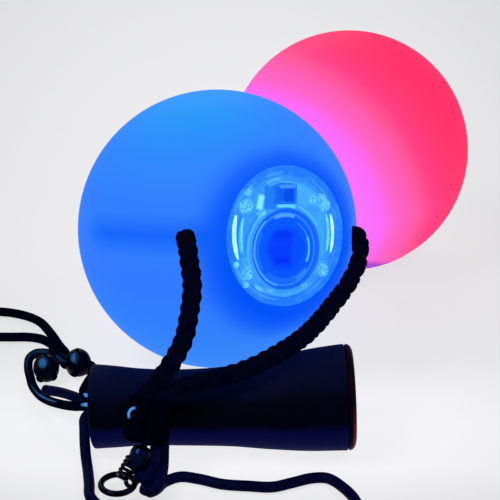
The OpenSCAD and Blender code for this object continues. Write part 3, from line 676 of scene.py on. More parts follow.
def ball_material(name, c, m, kind):
    mt, nt, b = material(name)
    v = coords(nt)
    fine = noise_tex(nt, v, 1.6, 4, 0.6)
    soft = noise_tex(nt, v, 0.05, 3, 0.5)
    if kind == "blue":
        up = dot_dir(nt, c, (-0.15, -0.1, 0.98))
        base = ramp(nt, [(0.0, lin((54, 132, 250))), (0.2, lin((55, 134, 250))), (0.36, lin((50, 130, 252))), (0.45, lin((50, 126, 253))), (0.56, lin((50, 121, 253))), (0.71, lin((50, 124, 253))),
                         (0.80, lin((50, 126, 253))), (0.86, lin((50, 130, 253))), (0.91, lin((49, 134, 252))), (0.97, lin((42, 144, 250))), (1.0, lin((34, 150, 246)))])
        nt.links.new(map_range(nt, up, -1, 1, 0, 1), base.inputs[0])
        near = dot_dir(nt, c, m[2] + Vector((0, -0.03, -0.063)))
        wob = math_node(nt, "ADD", near, math_node(nt, "MULTIPLY", math_node(nt, "SUBTRACT", soft, 0.5), 0.03))
        halo = ramp(nt, [(0.0, (0, 0, 0, 1)), (0.70, (0, 0, 0, 1)), (0.75, (0.14, 0.14, 0.14, 1)), (0.785, (0.42, 0.42, 0.42, 1)), (0.815, (0.70, 0.70, 0.70, 1)), (0.85, (0.9, 0.9, 0.9, 1)), (0.88, (1, 1, 1, 1)), (1.0, (1, 1, 1, 1))])
        nt.links.new(wob, halo.inputs[0])
        col = mix(nt, halo.outputs[0], base.outputs[0], lin((0, 83, 250)))
        # the cord's shadow inside, running back from each cord hole
        side = math_node(nt, "ABSOLUTE", dot_dir(nt, c, m[1]))
        band = map_range(nt, side, 0.0, 0.15, 0.8, 0.0)
        reach = dot_dir(nt, c, tuple(-m[0] * 0.86 + m[2] * 0.5))
        where = ramp(nt, [(0.0, (0, 0, 0, 1)), (0.79, (0, 0, 0, 1)), (0.94, (1, 1, 1, 1)), (1.0, (1, 1, 1, 1))], "EASE")
        nt.links.new(reach, where.inputs[0])
        streak = math_node(nt, "MULTIPLY", band, where.outputs[0])
        col = mix(nt, streak, col, lin((8, 92, 252)))
        glow = 1.0
        base_c = (0.0, 0.004, 0.012, 1)
    else:
        # the blue ball's light falls off across the red one, outwards from the line of sight past it
        t = node(nt, "ShaderNodeTexCoord")
        sub = node(nt, "ShaderNodeVectorMath", operation="SUBTRACT")
        nt.links.new(t.outputs["Object"], sub.inputs[0])
        sub.inputs[1].default_value = W((9.39, -348.07, 195.62))
        ax = Vector((-0.01515, 0.9079, -0.4192)).normalized()
        crs = node(nt, "ShaderNodeVectorMath", operation="CROSS_PRODUCT")
        nt.links.new(sub.outputs[0], crs.inputs[0])
        crs.inputs[1].default_value = ax
        ln = node(nt, "ShaderNodeVectorMath", operation="LENGTH")
        nt.links.new(crs.outputs[0], ln.inputs[0])
        along = node(nt, "ShaderNodeVectorMath", operation="DOT_PRODUCT")
        nt.links.new(sub.outputs[0], along.inputs[0])
        along.inputs[1].default_value = ax
        away = math_node(nt, "MULTIPLY", math_node(nt, "DIVIDE", ln.outputs["Value"], along.outputs["Value"]), 1320.0)
        away = math_node(nt, "ADD", away, map_range(nt, dot_dir(nt, c, (0.3, -0.3, -0.9)), 0.6, 0.92, 0, 22))
        base = ramp(nt, [(0.0, lin((250, 116, 254))), (0.16, lin((250, 107, 248))), (0.22, lin((254, 104, 226))), (0.29, lin((253, 100, 200))), (0.44, lin((253, 92, 174))), (0.52, lin((253, 84, 150))),
                         (0.62, lin((253, 64, 134))), (0.75, lin((253, 58, 116))), (0.9, lin((254, 53, 106))), (1.0, lin((254, 50, 104)))])
        nt.links.new(map_range(nt, away, 135, 255, 0, 1), base.inputs[0])
        low = dot_dir(nt, c, (-0.12, -0.36, -0.925))
        under = ramp(nt, [(0.0, (0, 0, 0, 1)), (0.85, (0, 0, 0, 1)), (0.925, (0.9, 0.9, 0.9, 1)), (1.0, (1, 1, 1, 1))], "EASE")
        nt.links.new(low, under.inputs[0])
        col = mix(nt, under.outputs[0], base.outputs[0], lin((150, 55, 205)))
        glow = 1.0
        base_c = (0.012, 0.0, 0.003, 1)
    nt.links.new(col, b.inputs["Emission Color"])
    b.inputs["Emission Strength"].default_value = glow
    b.inputs["Base Color"].default_value = base_c
    nt.links.new(map_range(nt, fine, 0.3, 0.7, 0.5, 0.62), b.inputs["Roughness"])
    b.inputs["Specular IOR Level"].default_value = 0.01
    bump(nt, b, fine, 0.05, 0.00004)
    return mt


ball_skin("blue_ball_skin", BLUE_C, BLUE_M, ball_material("blue_glow_ball", BLUE_C, BLUE_M, "blue"), "root", "blue_ball_shell", "blue_ball")
ball_skin("red_ball_skin", RED_C, RED_M, ball_material("red_glow_ball", RED_C, RED_M, "red"), "red_poi", "red_ball_shell", "red_ball")

# ------------------------------------------------------------------ grips
def grip_material():
    m, nt, b = material("grip_foam")
    v = coords(nt)
    cell = node(nt, "ShaderNodeTexVoronoi")
    cell.inputs["Scale"].default_value = 1.9
    nt.links.new(v, cell.inputs["Vector"])
    n1 = noise_tex(nt, v, 0.12, 4, 0.6)
    n2 = noise_tex(nt, v, 1.4, 5, 0.7)
    col = mix(nt, map_range(nt, n1, 0.3, 0.7, 0, 1), (0.0002, 0.0003, 0.002, 1), (0.0003, 0.0006, 0.005, 1))
    nt.links.new(col, b.inputs["Base Color"])
    t = node(nt, "ShaderNodeTexCoord")
    sep = node(nt, "ShaderNodeSeparateXYZ")
    nt.links.new(t.outputs["Object"], sep.inputs[0])
    # painted light and shade: the foam glows navy where it faces up or down and black in between, by which way each
    # face points
    g = node(nt, "ShaderNodeNewGeometry")
    d = node(nt, "ShaderNodeVectorMath", operation="DOT_PRODUCT")
    nt.links.new(g.outputs["Normal"], d.inputs[0])
    d.inputs[1].default_value = (0, 0.4226, 0.906)
    painted_light_facing = math_node(nt, "ADD", d.outputs["Value"], math_node(nt, "MULTIPLY", math_node(nt, "SUBTRACT", n1, 0.5), 0.25))
    painted_light_tone = ramp(nt, [(0.0, (0.0004, 0.0022, 0.045, 1)), (0.22, (0.0003, 0.0016, 0.034, 1)), (0.31, (0, 0, 0.0008, 1)), (0.56, (0, 0, 0.0003, 1)),
                     (0.68, (0.0002, 0.0007, 0.010, 1)), (0.9, (0.0008, 0.0026, 0.021, 1)), (1.0, (0.001, 0.003, 0.024, 1))])
    nt.links.new(map_range(nt, painted_light_facing, -1, 1, 0, 1), painted_light_tone.inputs[0])
    nt.links.new(painted_light_tone.outputs[0], b.inputs["Emission Color"])
    b.inputs["Emission Strength"].default_value = 0.9
    nt.links.new(map_range(nt, n2, 0.2, 0.8, 0.42, 0.7), b.inputs["Roughness"])
    b.inputs["Specular IOR Level"].default_value = 0.012
    h = math_node(nt, "ADD", math_node(nt, "MULTIPLY", cell.outputs["Distance"], 0.6), n2)
    bump(nt, b, h, 0.22, 0.0002)
    return m


M_GRIP = grip_material()
PROF = [(0, 11.1), (5.5, 10.7), (11, 10.2), (17, 10), (27, 10.1), (36, 10.6), (46, 12), (56, 13.3), (63, 13.8), (66, 13.95)]


def grip(name, p, m, body, colour):
    line = catmull([(z + 0.7, r, 0) for z, r in PROF], 0.8)
    prof = [(5.05, 0.0), (8.4, 0.0)] + [(10.3 + 0.8 * math.sin(math.radians(a)), 0.8 - 0.8 * math.cos(math.radians(a))) for a in (15, 35, 55, 75)]
    prof += [(q.y, q.x) for q in line if q.x > 0.75 and q.x < 66.1]
    prof += [(13.93, 66.2), (13.8, 66.5), (13.4, 66.6), (5.05, 66.6)]
    verts, faces = lathe(prof, p, m, 120, closed=True)
    ob = fix_normals(link(name + "_grip_foam", verts=verts, faces=faces, sharp=45))
    for v in ob.data.vertices:
        q = Vector((v.co.x / MM - OX, v.co.y / MM - OY, v.co.z / MM)) - p
        t = min(max(q.dot(m[2]) / 66.6, 0), 1)
        rad = (q - m[2] * q.dot(m[2])).length
        if rad > 6:
            v.co.z -= 1.5 * MM * math.sin(math.pi * t) ** 1.3
    add(ob, M_GRIP, body, "grip_rubber", name + "_grip_sleeve")
    mt, nt, b = material(name + "_cap_plastic")
    v = coords(nt)
    n2 = noise_tex(nt, v, 1.1, 4, 0.6)
    b.inputs["Base Color"].default_value = (0.0015, 0.0002, 0.001, 1)
    nt.links.new(map_range(nt, n2, 0.2, 0.8, 0.3, 0.5), b.inputs["Roughness"])
    t = node(nt, "ShaderNodeTexCoord")
    sep = node(nt, "ShaderNodeSeparateXYZ")
    nt.links.new(t.outputs["Object"], sep.inputs[0])
    # painted light: the cap's end face glows red near the floor, fading to near-black navy higher up; the rest of the
    # cap glows a faint navy
    painted_light_tone = ramp(nt, [(0.0, lin((104, 18, 48))), (0.45, lin((84, 10, 38))), (0.7, lin((14, 2, 16))), (1.0, lin((1, 2, 14)))])
    nt.links.new(map_range(nt, math_node(nt, "MULTIPLY", sep.outputs[2], 1000.0), 0, 28, 0, 1), painted_light_tone.inputs[0])
    sub = node(nt, "ShaderNodeVectorMath", operation="SUBTRACT")
    nt.links.new(t.outputs["Object"], sub.inputs[0])
    sub.inputs[1].default_value = W(p)
    along = node(nt, "ShaderNodeVectorMath", operation="DOT_PRODUCT")
    nt.links.new(sub.outputs[0], along.inputs[0])
    along.inputs[1].default_value = m[2] * 1000
    edge = map_range(nt, along.outputs["Value"], 67.5, 67.9, 0, 1)
    nt.links.new(mix(nt, edge, (0.0002, 0.0004, 0.004, 1), painted_light_tone.outputs[0]), b.inputs["Emission Color"])
    b.inputs["Emission Strength"].default_value = 0.8
    b.inputs["Specular IOR Level"].default_value = 0.01
    bump(nt, b, n2, 0.15, 0.0001)
    capp = [(0, 66.64), (12.6, 66.64), (13.5, 66.7), (13.85, 66.9), (13.9, 67.2), (13.7, 67.8), (13.2, 68.3), (12.4, 68.65), (11.6, 68.7), (11.0, 68.4), (10.4, 68.25), (0, 68.25)]
    verts, faces = lathe(capp, p, m, 120, closed=False)
    ob = fix_normals(link(name + "_grip_cap_turned", verts=verts, faces=faces, sharp=60))
    add(ob, mt, body, "grip_plastic", name + "_grip_cap")
    set_mat(N[name + "_grip_core"], M_GRIP)


grip("blue", BG_P, BG_M, "root", (200, 60, 120))
grip("red", RG_P, RG_M, "red_poi", (200, 60, 120))

# ------------------------------------------------------------------ metal
M_BLACKNI = metal("black_nickel", (0.0006, 0.0022, 0.011), 0.13, 0.5)
M_SWIVEL = metal("swivel_nickel", (0.0016, 0.006, 0.03), 0.13, 0.5)
M_STEEL = metal("bright_steel", (0.62, 0.68, 0.8), 0.14, 0.6)
M_CELL = metal("cell_steel", (0.7, 0.74, 0.82), 0.25, 0.5)
M_BRASS = metal("contact_brass", (0.8, 0.58, 0.26), 0.25, 0.5)
for c in ("blue", "red"):
    for n in ("bridle_ferrule", "leash_ring", "swivel_shank", "swivel_barrel", "swivel_eye"):
        set_mat(N[f"{c}_{n}"], M_SWIVEL if n == "swivel_barrel" else M_BLACKNI)
    set_mat(N[f"{c}_coin_cells"], M_CELL)
    set_mat(N[f"{c}_battery_contacts"], M_BRASS)
    set_mat(N[f"{c}_tact_switch"], black_cord(c + "_switch_plastic", (0.02, 0.02, 0.03, 1), 0.35))

# ------------------------------------------------------------------ ferrules: two barrels pressed round the bridle's ends
def ferrule_material(name, p, m):
    mt, nt, b = material(name)
    v = coords(nt)
    n2 = noise_tex(nt, v, 1.2, 4, 0.6)
    b.inputs["Base Color"].default_value = (0.0002, 0.0004, 0.002, 1)
    b.inputs["Specular IOR Level"].default_value = 0.0
    nt.links.new(map_range(nt, n2, 0.2, 0.8, 0.15, 0.3), b.inputs["Roughness"])
    bump(nt, b, n2, 0.1, 0.0001)
    # painted reflection: the lit ball caught in the left barrel's shoulder, as a glowing crescent
    t = node(nt, "ShaderNodeTexCoord")
    sub = node(nt, "ShaderNodeVectorMath", operation="SUBTRACT")
    nt.links.new(t.outputs["Object"], sub.inputs[0])
    sub.inputs[1].default_value = W(p)
    xz = []
    for ax, off in ((m[0], -3.2), (m[2], -0.95)):
        d = node(nt, "ShaderNodeVectorMath", operation="DOT_PRODUCT")
        nt.links.new(sub.outputs[0], d.inputs[0])
        d.inputs[1].default_value = ax * 1000
        xz.append(math_node(nt, "SUBTRACT", d.outputs["Value"], off))
    r = math_node(nt, "SQRT", math_node(nt, "ADD", math_node(nt, "MULTIPLY", xz[0], xz[0]), math_node(nt, "MULTIPLY", xz[1], xz[1])))
    cs = math_node(nt, "DIVIDE", math_node(nt, "ADD", math_node(nt, "MULTIPLY", xz[0], -0.94), math_node(nt, "MULTIPLY", xz[1], -0.34)), r)
    ring = map_range(nt, math_node(nt, "ABSOLUTE", math_node(nt, "SUBTRACT", r, 1.85)), 0.45, 0.15, 0, 1)
    arc_ = map_range(nt, cs, 0.45, 0.8, 0, 1)
    col = mix(nt, math_node(nt, "MULTIPLY", ring, arc_), (0.0, 0.0001, 0.001, 1), lin((84, 152, 240)))
    nt.links.new(col, b.inputs["Emission Color"])
    b.inputs["Emission Strength"].default_value = 1.0
    return mt


def ferrule(name, p, m, body):
    mt = ferrule_material(name + "_black", p, m)
    prof = [(0, -6.0), (1.6, -5.95), (2.5, -5.6), (3.0, -4.8), (3.3, -3.4), (3.38, -1.5), (3.3, 0.6), (3.3, 2.6), (3.16, 4.2), (2.7, 5.3), (1.9, 5.9), (0, 6.0)]
    for side, x in (("left", -2.6), ("right", 2.6)):
        verts, faces = lathe(prof, put(p, m, (x, 0, 0)), m, 64, closed=False)
        ob = fix_normals(link(name + "_" + side, verts=verts, faces=faces, sharp=50))
        add(ob, mt, body, "black_metal", name.split("_")[0] + "_bridle_ferrule")


def wire_wrap(name, a, b, r, wire, turns, body):
    a, b = Vector(a), Vector(b)
    ax = (b - a).normalized()
    m = basis(ax, (0, 0, 1) if abs(ax.z) < 0.9 else (1, 0, 0))
    pts = [put(a, m, (r * math.cos(2 * math.pi * turns * i / 90), r * math.sin(2 * math.pi * turns * i / 90), (b - a).length * i / 90)) for i in range(91)]
    verts, faces = [], []
    tube_data(pts, wire, 8, verts, faces)
    return add(link(name, verts=verts, faces=faces), M_BLACKNI, body, "black_metal")


ferrule("blue_ferrule_pressed", BF_P, BF_M, "root")
ferrule("red_ferrule_pressed", RF_P, RF_M, "red_poi")
wire_wrap("blue_ring_wrap", (-20.4, -69.0, 7.4), (-23.0, -73.0, 4.2), 1.35, 0.42, 5, "root")
RW = put(RS_P, RS_M, (0, 0, 8.4))
wire_wrap("red_ring_wrap", RW + Vector((1.2, -1.6, 0.8)), RW + Vector((-1.4, 2.6, 0.4)), 1.3, 0.42, 5, "red_poi")

# ------------------------------------------------------------------ lamps
def local_xy(nt, c, m, shake=0.25):
    """Millimetres across (x) and up (y) the lamp face at the surface point."""
    t = node(nt, "ShaderNodeTexCoord")
    sub = node(nt, "ShaderNodeVectorMath", operation="SUBTRACT")
    nt.links.new(t.outputs["Object"], sub.inputs[0])
    sub.inputs[1].default_value = W(c)
    out = []
    n1 = noise_tex(nt, coords(nt), 0.5, 2, 0.5)
    for ax in (m[0], m[1]):
        d = node(nt, "ShaderNodeVectorMath", operation="DOT_PRODUCT")
        nt.links.new(sub.outputs[0], d.inputs[0])
        d.inputs[1].default_value = ax * 1000
        out.append(math_node(nt, "ADD", d.outputs["Value"], math_node(nt, "MULTIPLY", math_node(nt, "SUBTRACT", n1, 0.5), shake)))
    return out


def smooth(nt, v, a, b2, c2=0.0, d2=1.0):
    n = node(nt, "ShaderNodeMapRange", interpolation_type="SMOOTHSTEP")
    for k, w in (("From Min", a), ("From Max", b2), ("To Min", c2), ("To Max", d2)):
        n.inputs[k].default_value = w
    nt.links.new(v, n.inputs["Value"])
    return n.outputs[0]


def polar(nt, x, y, cx, cy):
    dx, dy = math_node(nt, "SUBTRACT", x, cx), math_node(nt, "SUBTRACT", y, cy)
    r = math_node(nt, "SQRT", math_node(nt, "ADD", math_node(nt, "MULTIPLY", dx, dx), math_node(nt, "MULTIPLY", dy, dy)))
    return dx, dy, r


def arc_mask(nt, pol, radius, width, a0, a1, soft=0.22):
    dx, dy, r = pol
    off = math_node(nt, "ABSOLUTE", math_node(nt, "SUBTRACT", r, radius))
    mr = smooth(nt, off, width / 2 + soft, max(width / 2 - soft, 0.01))
    mid, half = math.radians((a0 + a1) / 2), math.radians((a1 - a0) / 2)
    if half > 3.1:
        return mr
    cs = math_node(nt, "DIVIDE", math_node(nt, "ADD", math_node(nt, "MULTIPLY", dx, math.cos(mid)), math_node(nt, "MULTIPLY", dy, math.sin(mid))), r)
    ma = smooth(nt, cs, math.cos(min(half + 0.05, math.pi)), math.cos(max(half - 0.05, 0.001)))
    return math_node(nt, "MULTIPLY", mr, ma)


def box_mask(nt, x, y, cx, cy, hx, hy, soft=0.25, turn=0.0):
    dx, dy = math_node(nt, "SUBTRACT", x, cx), math_node(nt, "SUBTRACT", y, cy)
    ca, sa = math.cos(math.radians(turn)), math.sin(math.radians(turn))
    u = math_node(nt, "ADD", math_node(nt, "MULTIPLY", dx, ca), math_node(nt, "MULTIPLY", dy, sa))
    v = math_node(nt, "SUBTRACT", math_node(nt, "MULTIPLY", dy, ca), math_node(nt, "MULTIPLY", dx, sa))
    mu = smooth(nt, math_node(nt, "ABSOLUTE", u), hx + soft, hx - soft)
    mv = smooth(nt, math_node(nt, "ABSOLUTE", v), hy + soft, hy - soft)
    return math_node(nt, "MULTIPLY", mu, mv)


# light caught in the clear lamp face: where it lies, how wide, from and to which angle, its colour (on the blue lamp) and how strong
FLANGE_ARCS = [(18.3, 0.9, -180, 180, (36, 126, 251), 0.6), (18.6, 0.3, 138, 172, (92, 196, 253), 0.7), (17.4, 0.35, 128, 152, (70, 160, 253), 0.7),
               (16.6, 0.45, -180, 180, (28, 108, 248), 0.55), (15.6, 1.5, -180, 180, (48, 140, 250), 0.5), (15.4, 0.8, 97, 113, (88, 186, 254), 0.8), (16.9, 0.7, 94, 112, (66, 158, 252), 0.8),
               (14.4, 0.45, 76, 112, (84, 178, 252), 0.7), (13.6, 0.4, 66, 100, (84, 186, 252), 0.7), (14.2, 0.8, 160, 197, (76, 194, 252), 0.9), (15.1, 0.4, 158, 200, (20, 110, 240), 0.6),
               (15.6, 1.1, 232, 304, (66, 168, 253), 0.8), (16.0, 0.8, 236, 243, (108, 208, 255), 0.8), (15.0, 0.7, 250, 256, (108, 208, 255), 0.8), (17.0, 0.35, 215, 262, (84, 176, 253), 0.6),
               (14.1, 0.6, 256, 296, (52, 142, 248), 0.6), (17.2, 0.3, 300, 350, (70, 158, 253), 0.5), (17.0, 0.3, 20, 60, (74, 160, 253), 0.6),
               (14.6, 0.35, -17, 22, (18, 104, 236), 0.7)]
DOOR_ARCS = [(11.7, 1.0, 74, 103, (100, 214, 255), 0.95), (12.1, 0.6, 30, 70, (84, 190, 253), 0.8), (10.9, 0.3, 20, 80, (14, 92, 240), 0.8), (11.7, 0.7, 130, 205, (84, 186, 254), 0.8),
             (12.6, 0.3, 120, 180, (30, 116, 246), 0.7), (11.5, 0.5, 205, 275, (56, 150, 252), 0.7), (11.8, 0.4, 285, 340, (54, 148, 252), 0.6), (13.0, 0.5, 10, 48, (70, 168, 252), 0.6)]
IN_ARCS = [(10.2, 0.5, -180, 180, (6, 84, 236), 0.8), (9.6, 0.45, -180, 180, (52, 142, 253), 0.65), (9.1, 0.9, 72, 112, (88, 170, 253), 0.8), (9.9, 0.3, 130, 255, (88, 182, 253), 0.8),
           (7.9, 0.6, -26, 24, (76, 200, 253), 0.95), (7.9, 0.3, 24, 60, (60, 150, 253), 0.6), (8.4, 1.1, 226, 318, (34, 116, 252), 0.6), (8.9, 0.6, 296, 322, (66, 158, 253), 0.6),
           (6.8, 0.3, -180, 180, (8, 92, 253), 0.5), (8.7, 0.35, 150, 215, (40, 130, 253), 0.6)]


def shade(rgb, kind):
    """The blue lamp's colour, or the same light from the red lamp."""
    if kind == "blue":
        return lin(rgb)
    k = (rgb[0] * 0.25 + rgb[1] * 0.75) / 255
    return lin((150 + 105 * min(1, k * 1.3), 10 + 200 * k, 70 + 165 * k))


def paint_lamp(name, c, m, kind, door):
    mt, nt, b = material(name)
    x, y = local_xy(nt, c - m[0] * 0.6, m)
    fl = polar(nt, x, y, 0, 0)
    dr = polar(nt, x, y, 0, -3.5)
    spots = noise_tex(nt, coords(nt), 0.22, 3, 0.6)
    if door:
        base = ramp(nt, [(0.0, shade((0, 60, 250), kind)), (0.42, shade((0, 62, 251), kind)), (0.58, shade((0, 80, 252), kind)), (0.8, shade((4, 88, 252), kind)), (0.93, shade((26, 112, 252), kind)), (1.0, shade((20, 104, 250), kind))], "EASE")
        nt.links.new(map_range(nt, dr[2], 0, 10.8, 0, 1), base.inputs[0])
        col = base.outputs[0]
        for cx, cy, hx, hy, rgb, w in ((-0.8, 0.2, 3.0, 1.1, (0, 40, 244), 0.9), (-0.8, -6.2, 2.6, 1.1, (0, 34, 242), 0.9), (-0.8, -3.0, 3.6, 2.8, (0, 52, 252), 0.8), (3.6, -3.4, 1.4, 3.4, (0, 84, 252), 0.5)):
            col = mix(nt, math_node(nt, "MULTIPLY", box_mask(nt, x, y, cx, cy, hx, hy, 0.9), w), col, shade(rgb, kind))
        arcs, pol = IN_ARCS, dr
        for rad, wid, a0, a1, rgb, w in arcs:
            col = mix(nt, math_node(nt, "MULTIPLY", arc_mask(nt, pol, rad, wid, a0, a1), w), col, shade(rgb, kind))
    else:
        base = ramp(nt, [(0.0, shade((50, 146, 250), kind)), (0.70, shade((52, 150, 250), kind)), (0.82, shade((46, 140, 250), kind)), (0.88, shade((34, 120, 250), kind)), (1.0, shade((30, 114, 251), kind))], "EASE")
        nt.links.new(map_range(nt, fl[2], 0, 18.8, 0, 1), base.inputs[0])
        col = mix(nt, smooth(nt, spots, 0.42, 0.62, 0, 0.4), base.outputs[0], shade((66, 168, 250), kind))
        # darker wedge left of the switch, light panel right of it
        for cx, cy, hx, hy, rgb, w, turn in ((-4.2, 10.4, 2.6, 3.2, (26, 116, 246), 0.85, 0), (0, 11.4, 3.6, 3.0, (16, 100, 240), 0.7, 0), (5.4, 11.0, 2.7, 2.7, (70, 172, 250), 0.9, -20),
                                             (-8.0, 9.1, 0.95, 1.9, (130, 238, 250), 0.95, -12), (-7.6, 6.1, 1.4, 0.8, (100, 216, 254), 0.9, 30), (10.4, 9.6, 2.8, 1.9, (70, 178, 250), 0.8, -15),
                                             (-13.4, 9.0, 1.9, 3.2, (66, 166, 250), 0.75, -25), (-12.8, -9.2, 2.2, 3.6, (66, 170, 250), 0.7, 25), (12.2, -8.8, 2.4, 1.9, (64, 162, 250), 0.8, 0),
                                             (11.8, 0.4, 1.3, 6.4, (60, 168, 246), 0.7, 0), (-11.2, 12.2, 1.0, 0.8, (90, 196, 252), 0.8, 40), (7.4, -10.6, 2.6, 1.3, (56, 150, 251), 0.6, 35)):
            col = mix(nt, math_node(nt, "MULTIPLY", box_mask(nt, x, y, cx, cy, hx, hy, 0.4, turn), w), col, shade(rgb, kind))
        for arcs, pol in ((FLANGE_ARCS, fl), (DOOR_ARCS, dr)):
            for rad, wid, a0, a1, rgb, w in arcs:
                col = mix(nt, math_node(nt, "MULTIPLY", arc_mask(nt, pol, rad, wid, a0, a1), w), col, shade(rgb, kind))
    nt.links.new(col, b.inputs["Emission Color"])
    b.inputs["Emission Strength"].default_value = 1.0
    b.inputs["Base Color"].default_value = (0.0, 0.01, 0.03, 1) if kind == "blue" else (0.03, 0.0, 0.01, 1)
    nt.links.new(map_range(nt, spots, 0.3, 0.7, 0.12, 0.3), b.inputs["Roughness"])
    b.inputs["Specular IOR Level"].default_value = 0.04
    return mt


def bar_arc(name, c, m, radius, width, height, z, a0, a1, mat, body, cx=0.0, cy=0.0):
    """A moulded light bar along an arc of the lamp face, rounded on top and half sunk in the face."""
    verts, faces, n, k = [], [], 28, 6
    for i in range(n + 1):
        a = math.radians(a0 + (a1 - a0) * i / n)
        e = min(1.0, 4.0 * min(i, n - i) / n + 0.15)
        for j in range(k + 1):
            t = math.pi * j / k
            r = radius + width / 2 * math.cos(t) * (e ** 0.5)
            verts.append(W(put(c, m, (cx + r * math.cos(a), cy + r * math.sin(a), z + height * math.sin(t) * (e ** 0.5)))))
    for i in range(n):
        for j in range(k):
            q = i * (k + 1) + j
            faces.append((q, q + 1, q + k + 2, q + k + 1))
        faces.append((i * (k + 1), (i + 1) * (k + 1), (i + 1) * (k + 1) + k, i * (k + 1) + k))
    faces.append(tuple(range(k + 1)))
    faces.append(tuple(n * (k + 1) + j for j in range(k, -1, -1)))
    ob = fix_normals(link(name, verts=verts, faces=faces, sharp=50))
    return add(ob, mat, body, "clear_plastic")


def lamp_boss(name, c, m, x, y, r, h, z, mat, body, sides=28):
    prof = [(0, z - 0.2), (r, z - 0.2), (r, z + h * 0.55), (r * 0.9, z + h * 0.85), (r * 0.68, z + h), (r * 0.55, z + h * 0.7), (0, z + h * 0.7)]
    verts, faces = lathe(prof, put(c, m, (x, y, 0)), m, sides, closed=False)
    ob = fix_normals(link(name, verts=verts, faces=faces, sharp=40))
    return add(ob, mat, body, "clear_plastic")


for kind, c, m, body in (("blue", BLUE_C, BLUE_M, "blue_lamp"), ("red", RED_C, RED_M, "red_lamp")):
    sh = lambda rgb: tuple(int(255 * (v ** (1 / 2.2))) for v in shade(rgb, kind)[:3])
    face_m = paint_lamp(kind + "_lamp_clear", c, m, kind, False)
    set_mat(N[kind + "_lamp_face"], face_m)
    set_mat(N[kind + "_battery_door"], paint_lamp(kind + "_door_clear", c, m, kind, True))
    glow = glow_plastic(kind + "_light_bar", sh((150, 250, 252)), sh((196, 255, 255)), strength=1.0, rough=0.1, scale=0.5)
    bc = c - m[0] * 0.6
    soft = glow_plastic(kind + "_light_bar_dim", sh((84, 200, 252)), sh((120, 232, 255)), strength=1.0, rough=0.15, scale=0.6)
    post = glow_plastic(kind + "_post_clear", sh((40, 146, 246)), sh((112, 222, 255)), strength=1.0, rough=0.2, scale=1.3, spec=0.1)
    set_mat(N[kind + "_lamp_cup"], glow_plastic(kind + "_clear_cup", sh((4, 84, 240)), sh((30, 120, 250)), strength=1.0, rough=0.3))
    set_mat(N[kind + "_battery_tray"], glow_plastic(kind + "_tray_plastic", sh((20, 104, 246)), sh((50, 140, 250)), strength=1.0, rough=0.2))
    set_mat(N[kind + "_circuit_board"], glow_plastic(kind + "_board_mask", sh((10, 90, 240)), sh((30, 120, 246)), strength=1.0, base=(0.01, 0.08, 0.06, 1), rough=0.4))
    set_mat(N[kind + "_leds"], glow_plastic(kind + "_led_lens", sh((190, 255, 255)), sh((220, 255, 255)), strength=2.0, rough=0.1))
    bm_, bt, bb = material(kind + "_button_plastic")
    bx, by = local_xy(bt, c - m[0] * 0.6, m)
    bp = polar(bt, bx, by, -2.4, 11.0)
    bcol = ramp(bt, [(0.0, shade((20, 104, 246), kind)), (0.45, shade((12, 94, 244), kind)), (0.75, shade((34, 124, 250), kind)), (1.0, shade((22, 110, 247), kind))])
    bt.links.new(map_range(bt, bp[2], 0, 3.4, 0, 1), bcol.inputs[0])
    bcol = mix(bt, math_node(bt, "MULTIPLY", box_mask(bt, bx, by, 1.0, 10.9, 1.7, 1.7, 0.35), 0.95), bcol.outputs[0], shade((0, 74, 236), kind))
    bcol = mix(bt, math_node(bt, "MULTIPLY", box_mask(bt, bx, by, 0.6, 13.3, 2.6, 0.45, 0.3), 0.8), bcol, shade((66, 158, 252), kind))
    bt.links.new(bcol, bb.inputs["Emission Color"])
    bb.inputs["Emission Strength"].default_value = 1.0
    bb.inputs["Base Color"].default_value = (0, 0.004, 0.012, 1) if kind == "blue" else (0.012, 0, 0.004, 1)
    bb.inputs["Specular IOR Level"].default_value = 0.03
    bb.inputs["Roughness"].default_value = 0.35
    set_mat(N[kind + "_mode_button"], bm_)
    set_mat(N[kind + "_face_screws"], post)
    set_mat(N[kind + "_tact_switch"], glow_plastic(kind + "_tact_lit", sh((0, 70, 236)), sh((10, 84, 240)), strength=1.0, spec=0.05))
    set_mat(N[kind + "_flange_gasket"], glow_plastic(kind + "_gasket_rubber", sh((4, 84, 240)), sh((10, 90, 244)), strength=1.0, rough=0.5))
    set_mat(N[kind + "_door_seal"], glow_plastic(kind + "_door_seal_rubber", sh((4, 84, 240)), sh((10, 90, 244)), strength=1.0, rough=0.5))
    bar_arc(kind + "_bar_left", bc, m, 19.0, 1.35, 0.16, 34.79, 166, 202, glow, body, 2.9, 1.2)
    bar_arc(kind + "_bar_left_foot", bc, m, 16.9, 1.5, 0.14, 34.79, 202.5, 208, soft, body)
    bar_arc(kind + "_bar_left_inner", bc, m, 22.0, 0.6, 0.12, 34.79, 168, 191, soft, body, 8.2, 0.5)
    bar_arc(kind + "_bar_right", bc, m, 19.0, 1.1, 0.16, 34.79, -14.5, 17.5, glow, body, -3.1, 0)
    bar_arc(kind + "_bar_right_inner", bc, m, 19.0, 0.95, 0.14, 34.79, -13, 18, soft, body, -4.6, 0)
    for i, (x, y, r, h) in enumerate(((-13.0, 7.9, 1.7, 0.3), (8.9, 9.9, 1.2, 0.3), (-12.0, 11.6, 1.1, 0.3), (-12.2, -12.6, 0.9, 0.3), (6.6, -13.6, 0.8, 0.3), (11.8, 10.2, 1.2, 0.34))):
        lamp_boss(f"{kind}_boss_{i}", bc, m, x, y, r, h, 34.8, post, body)

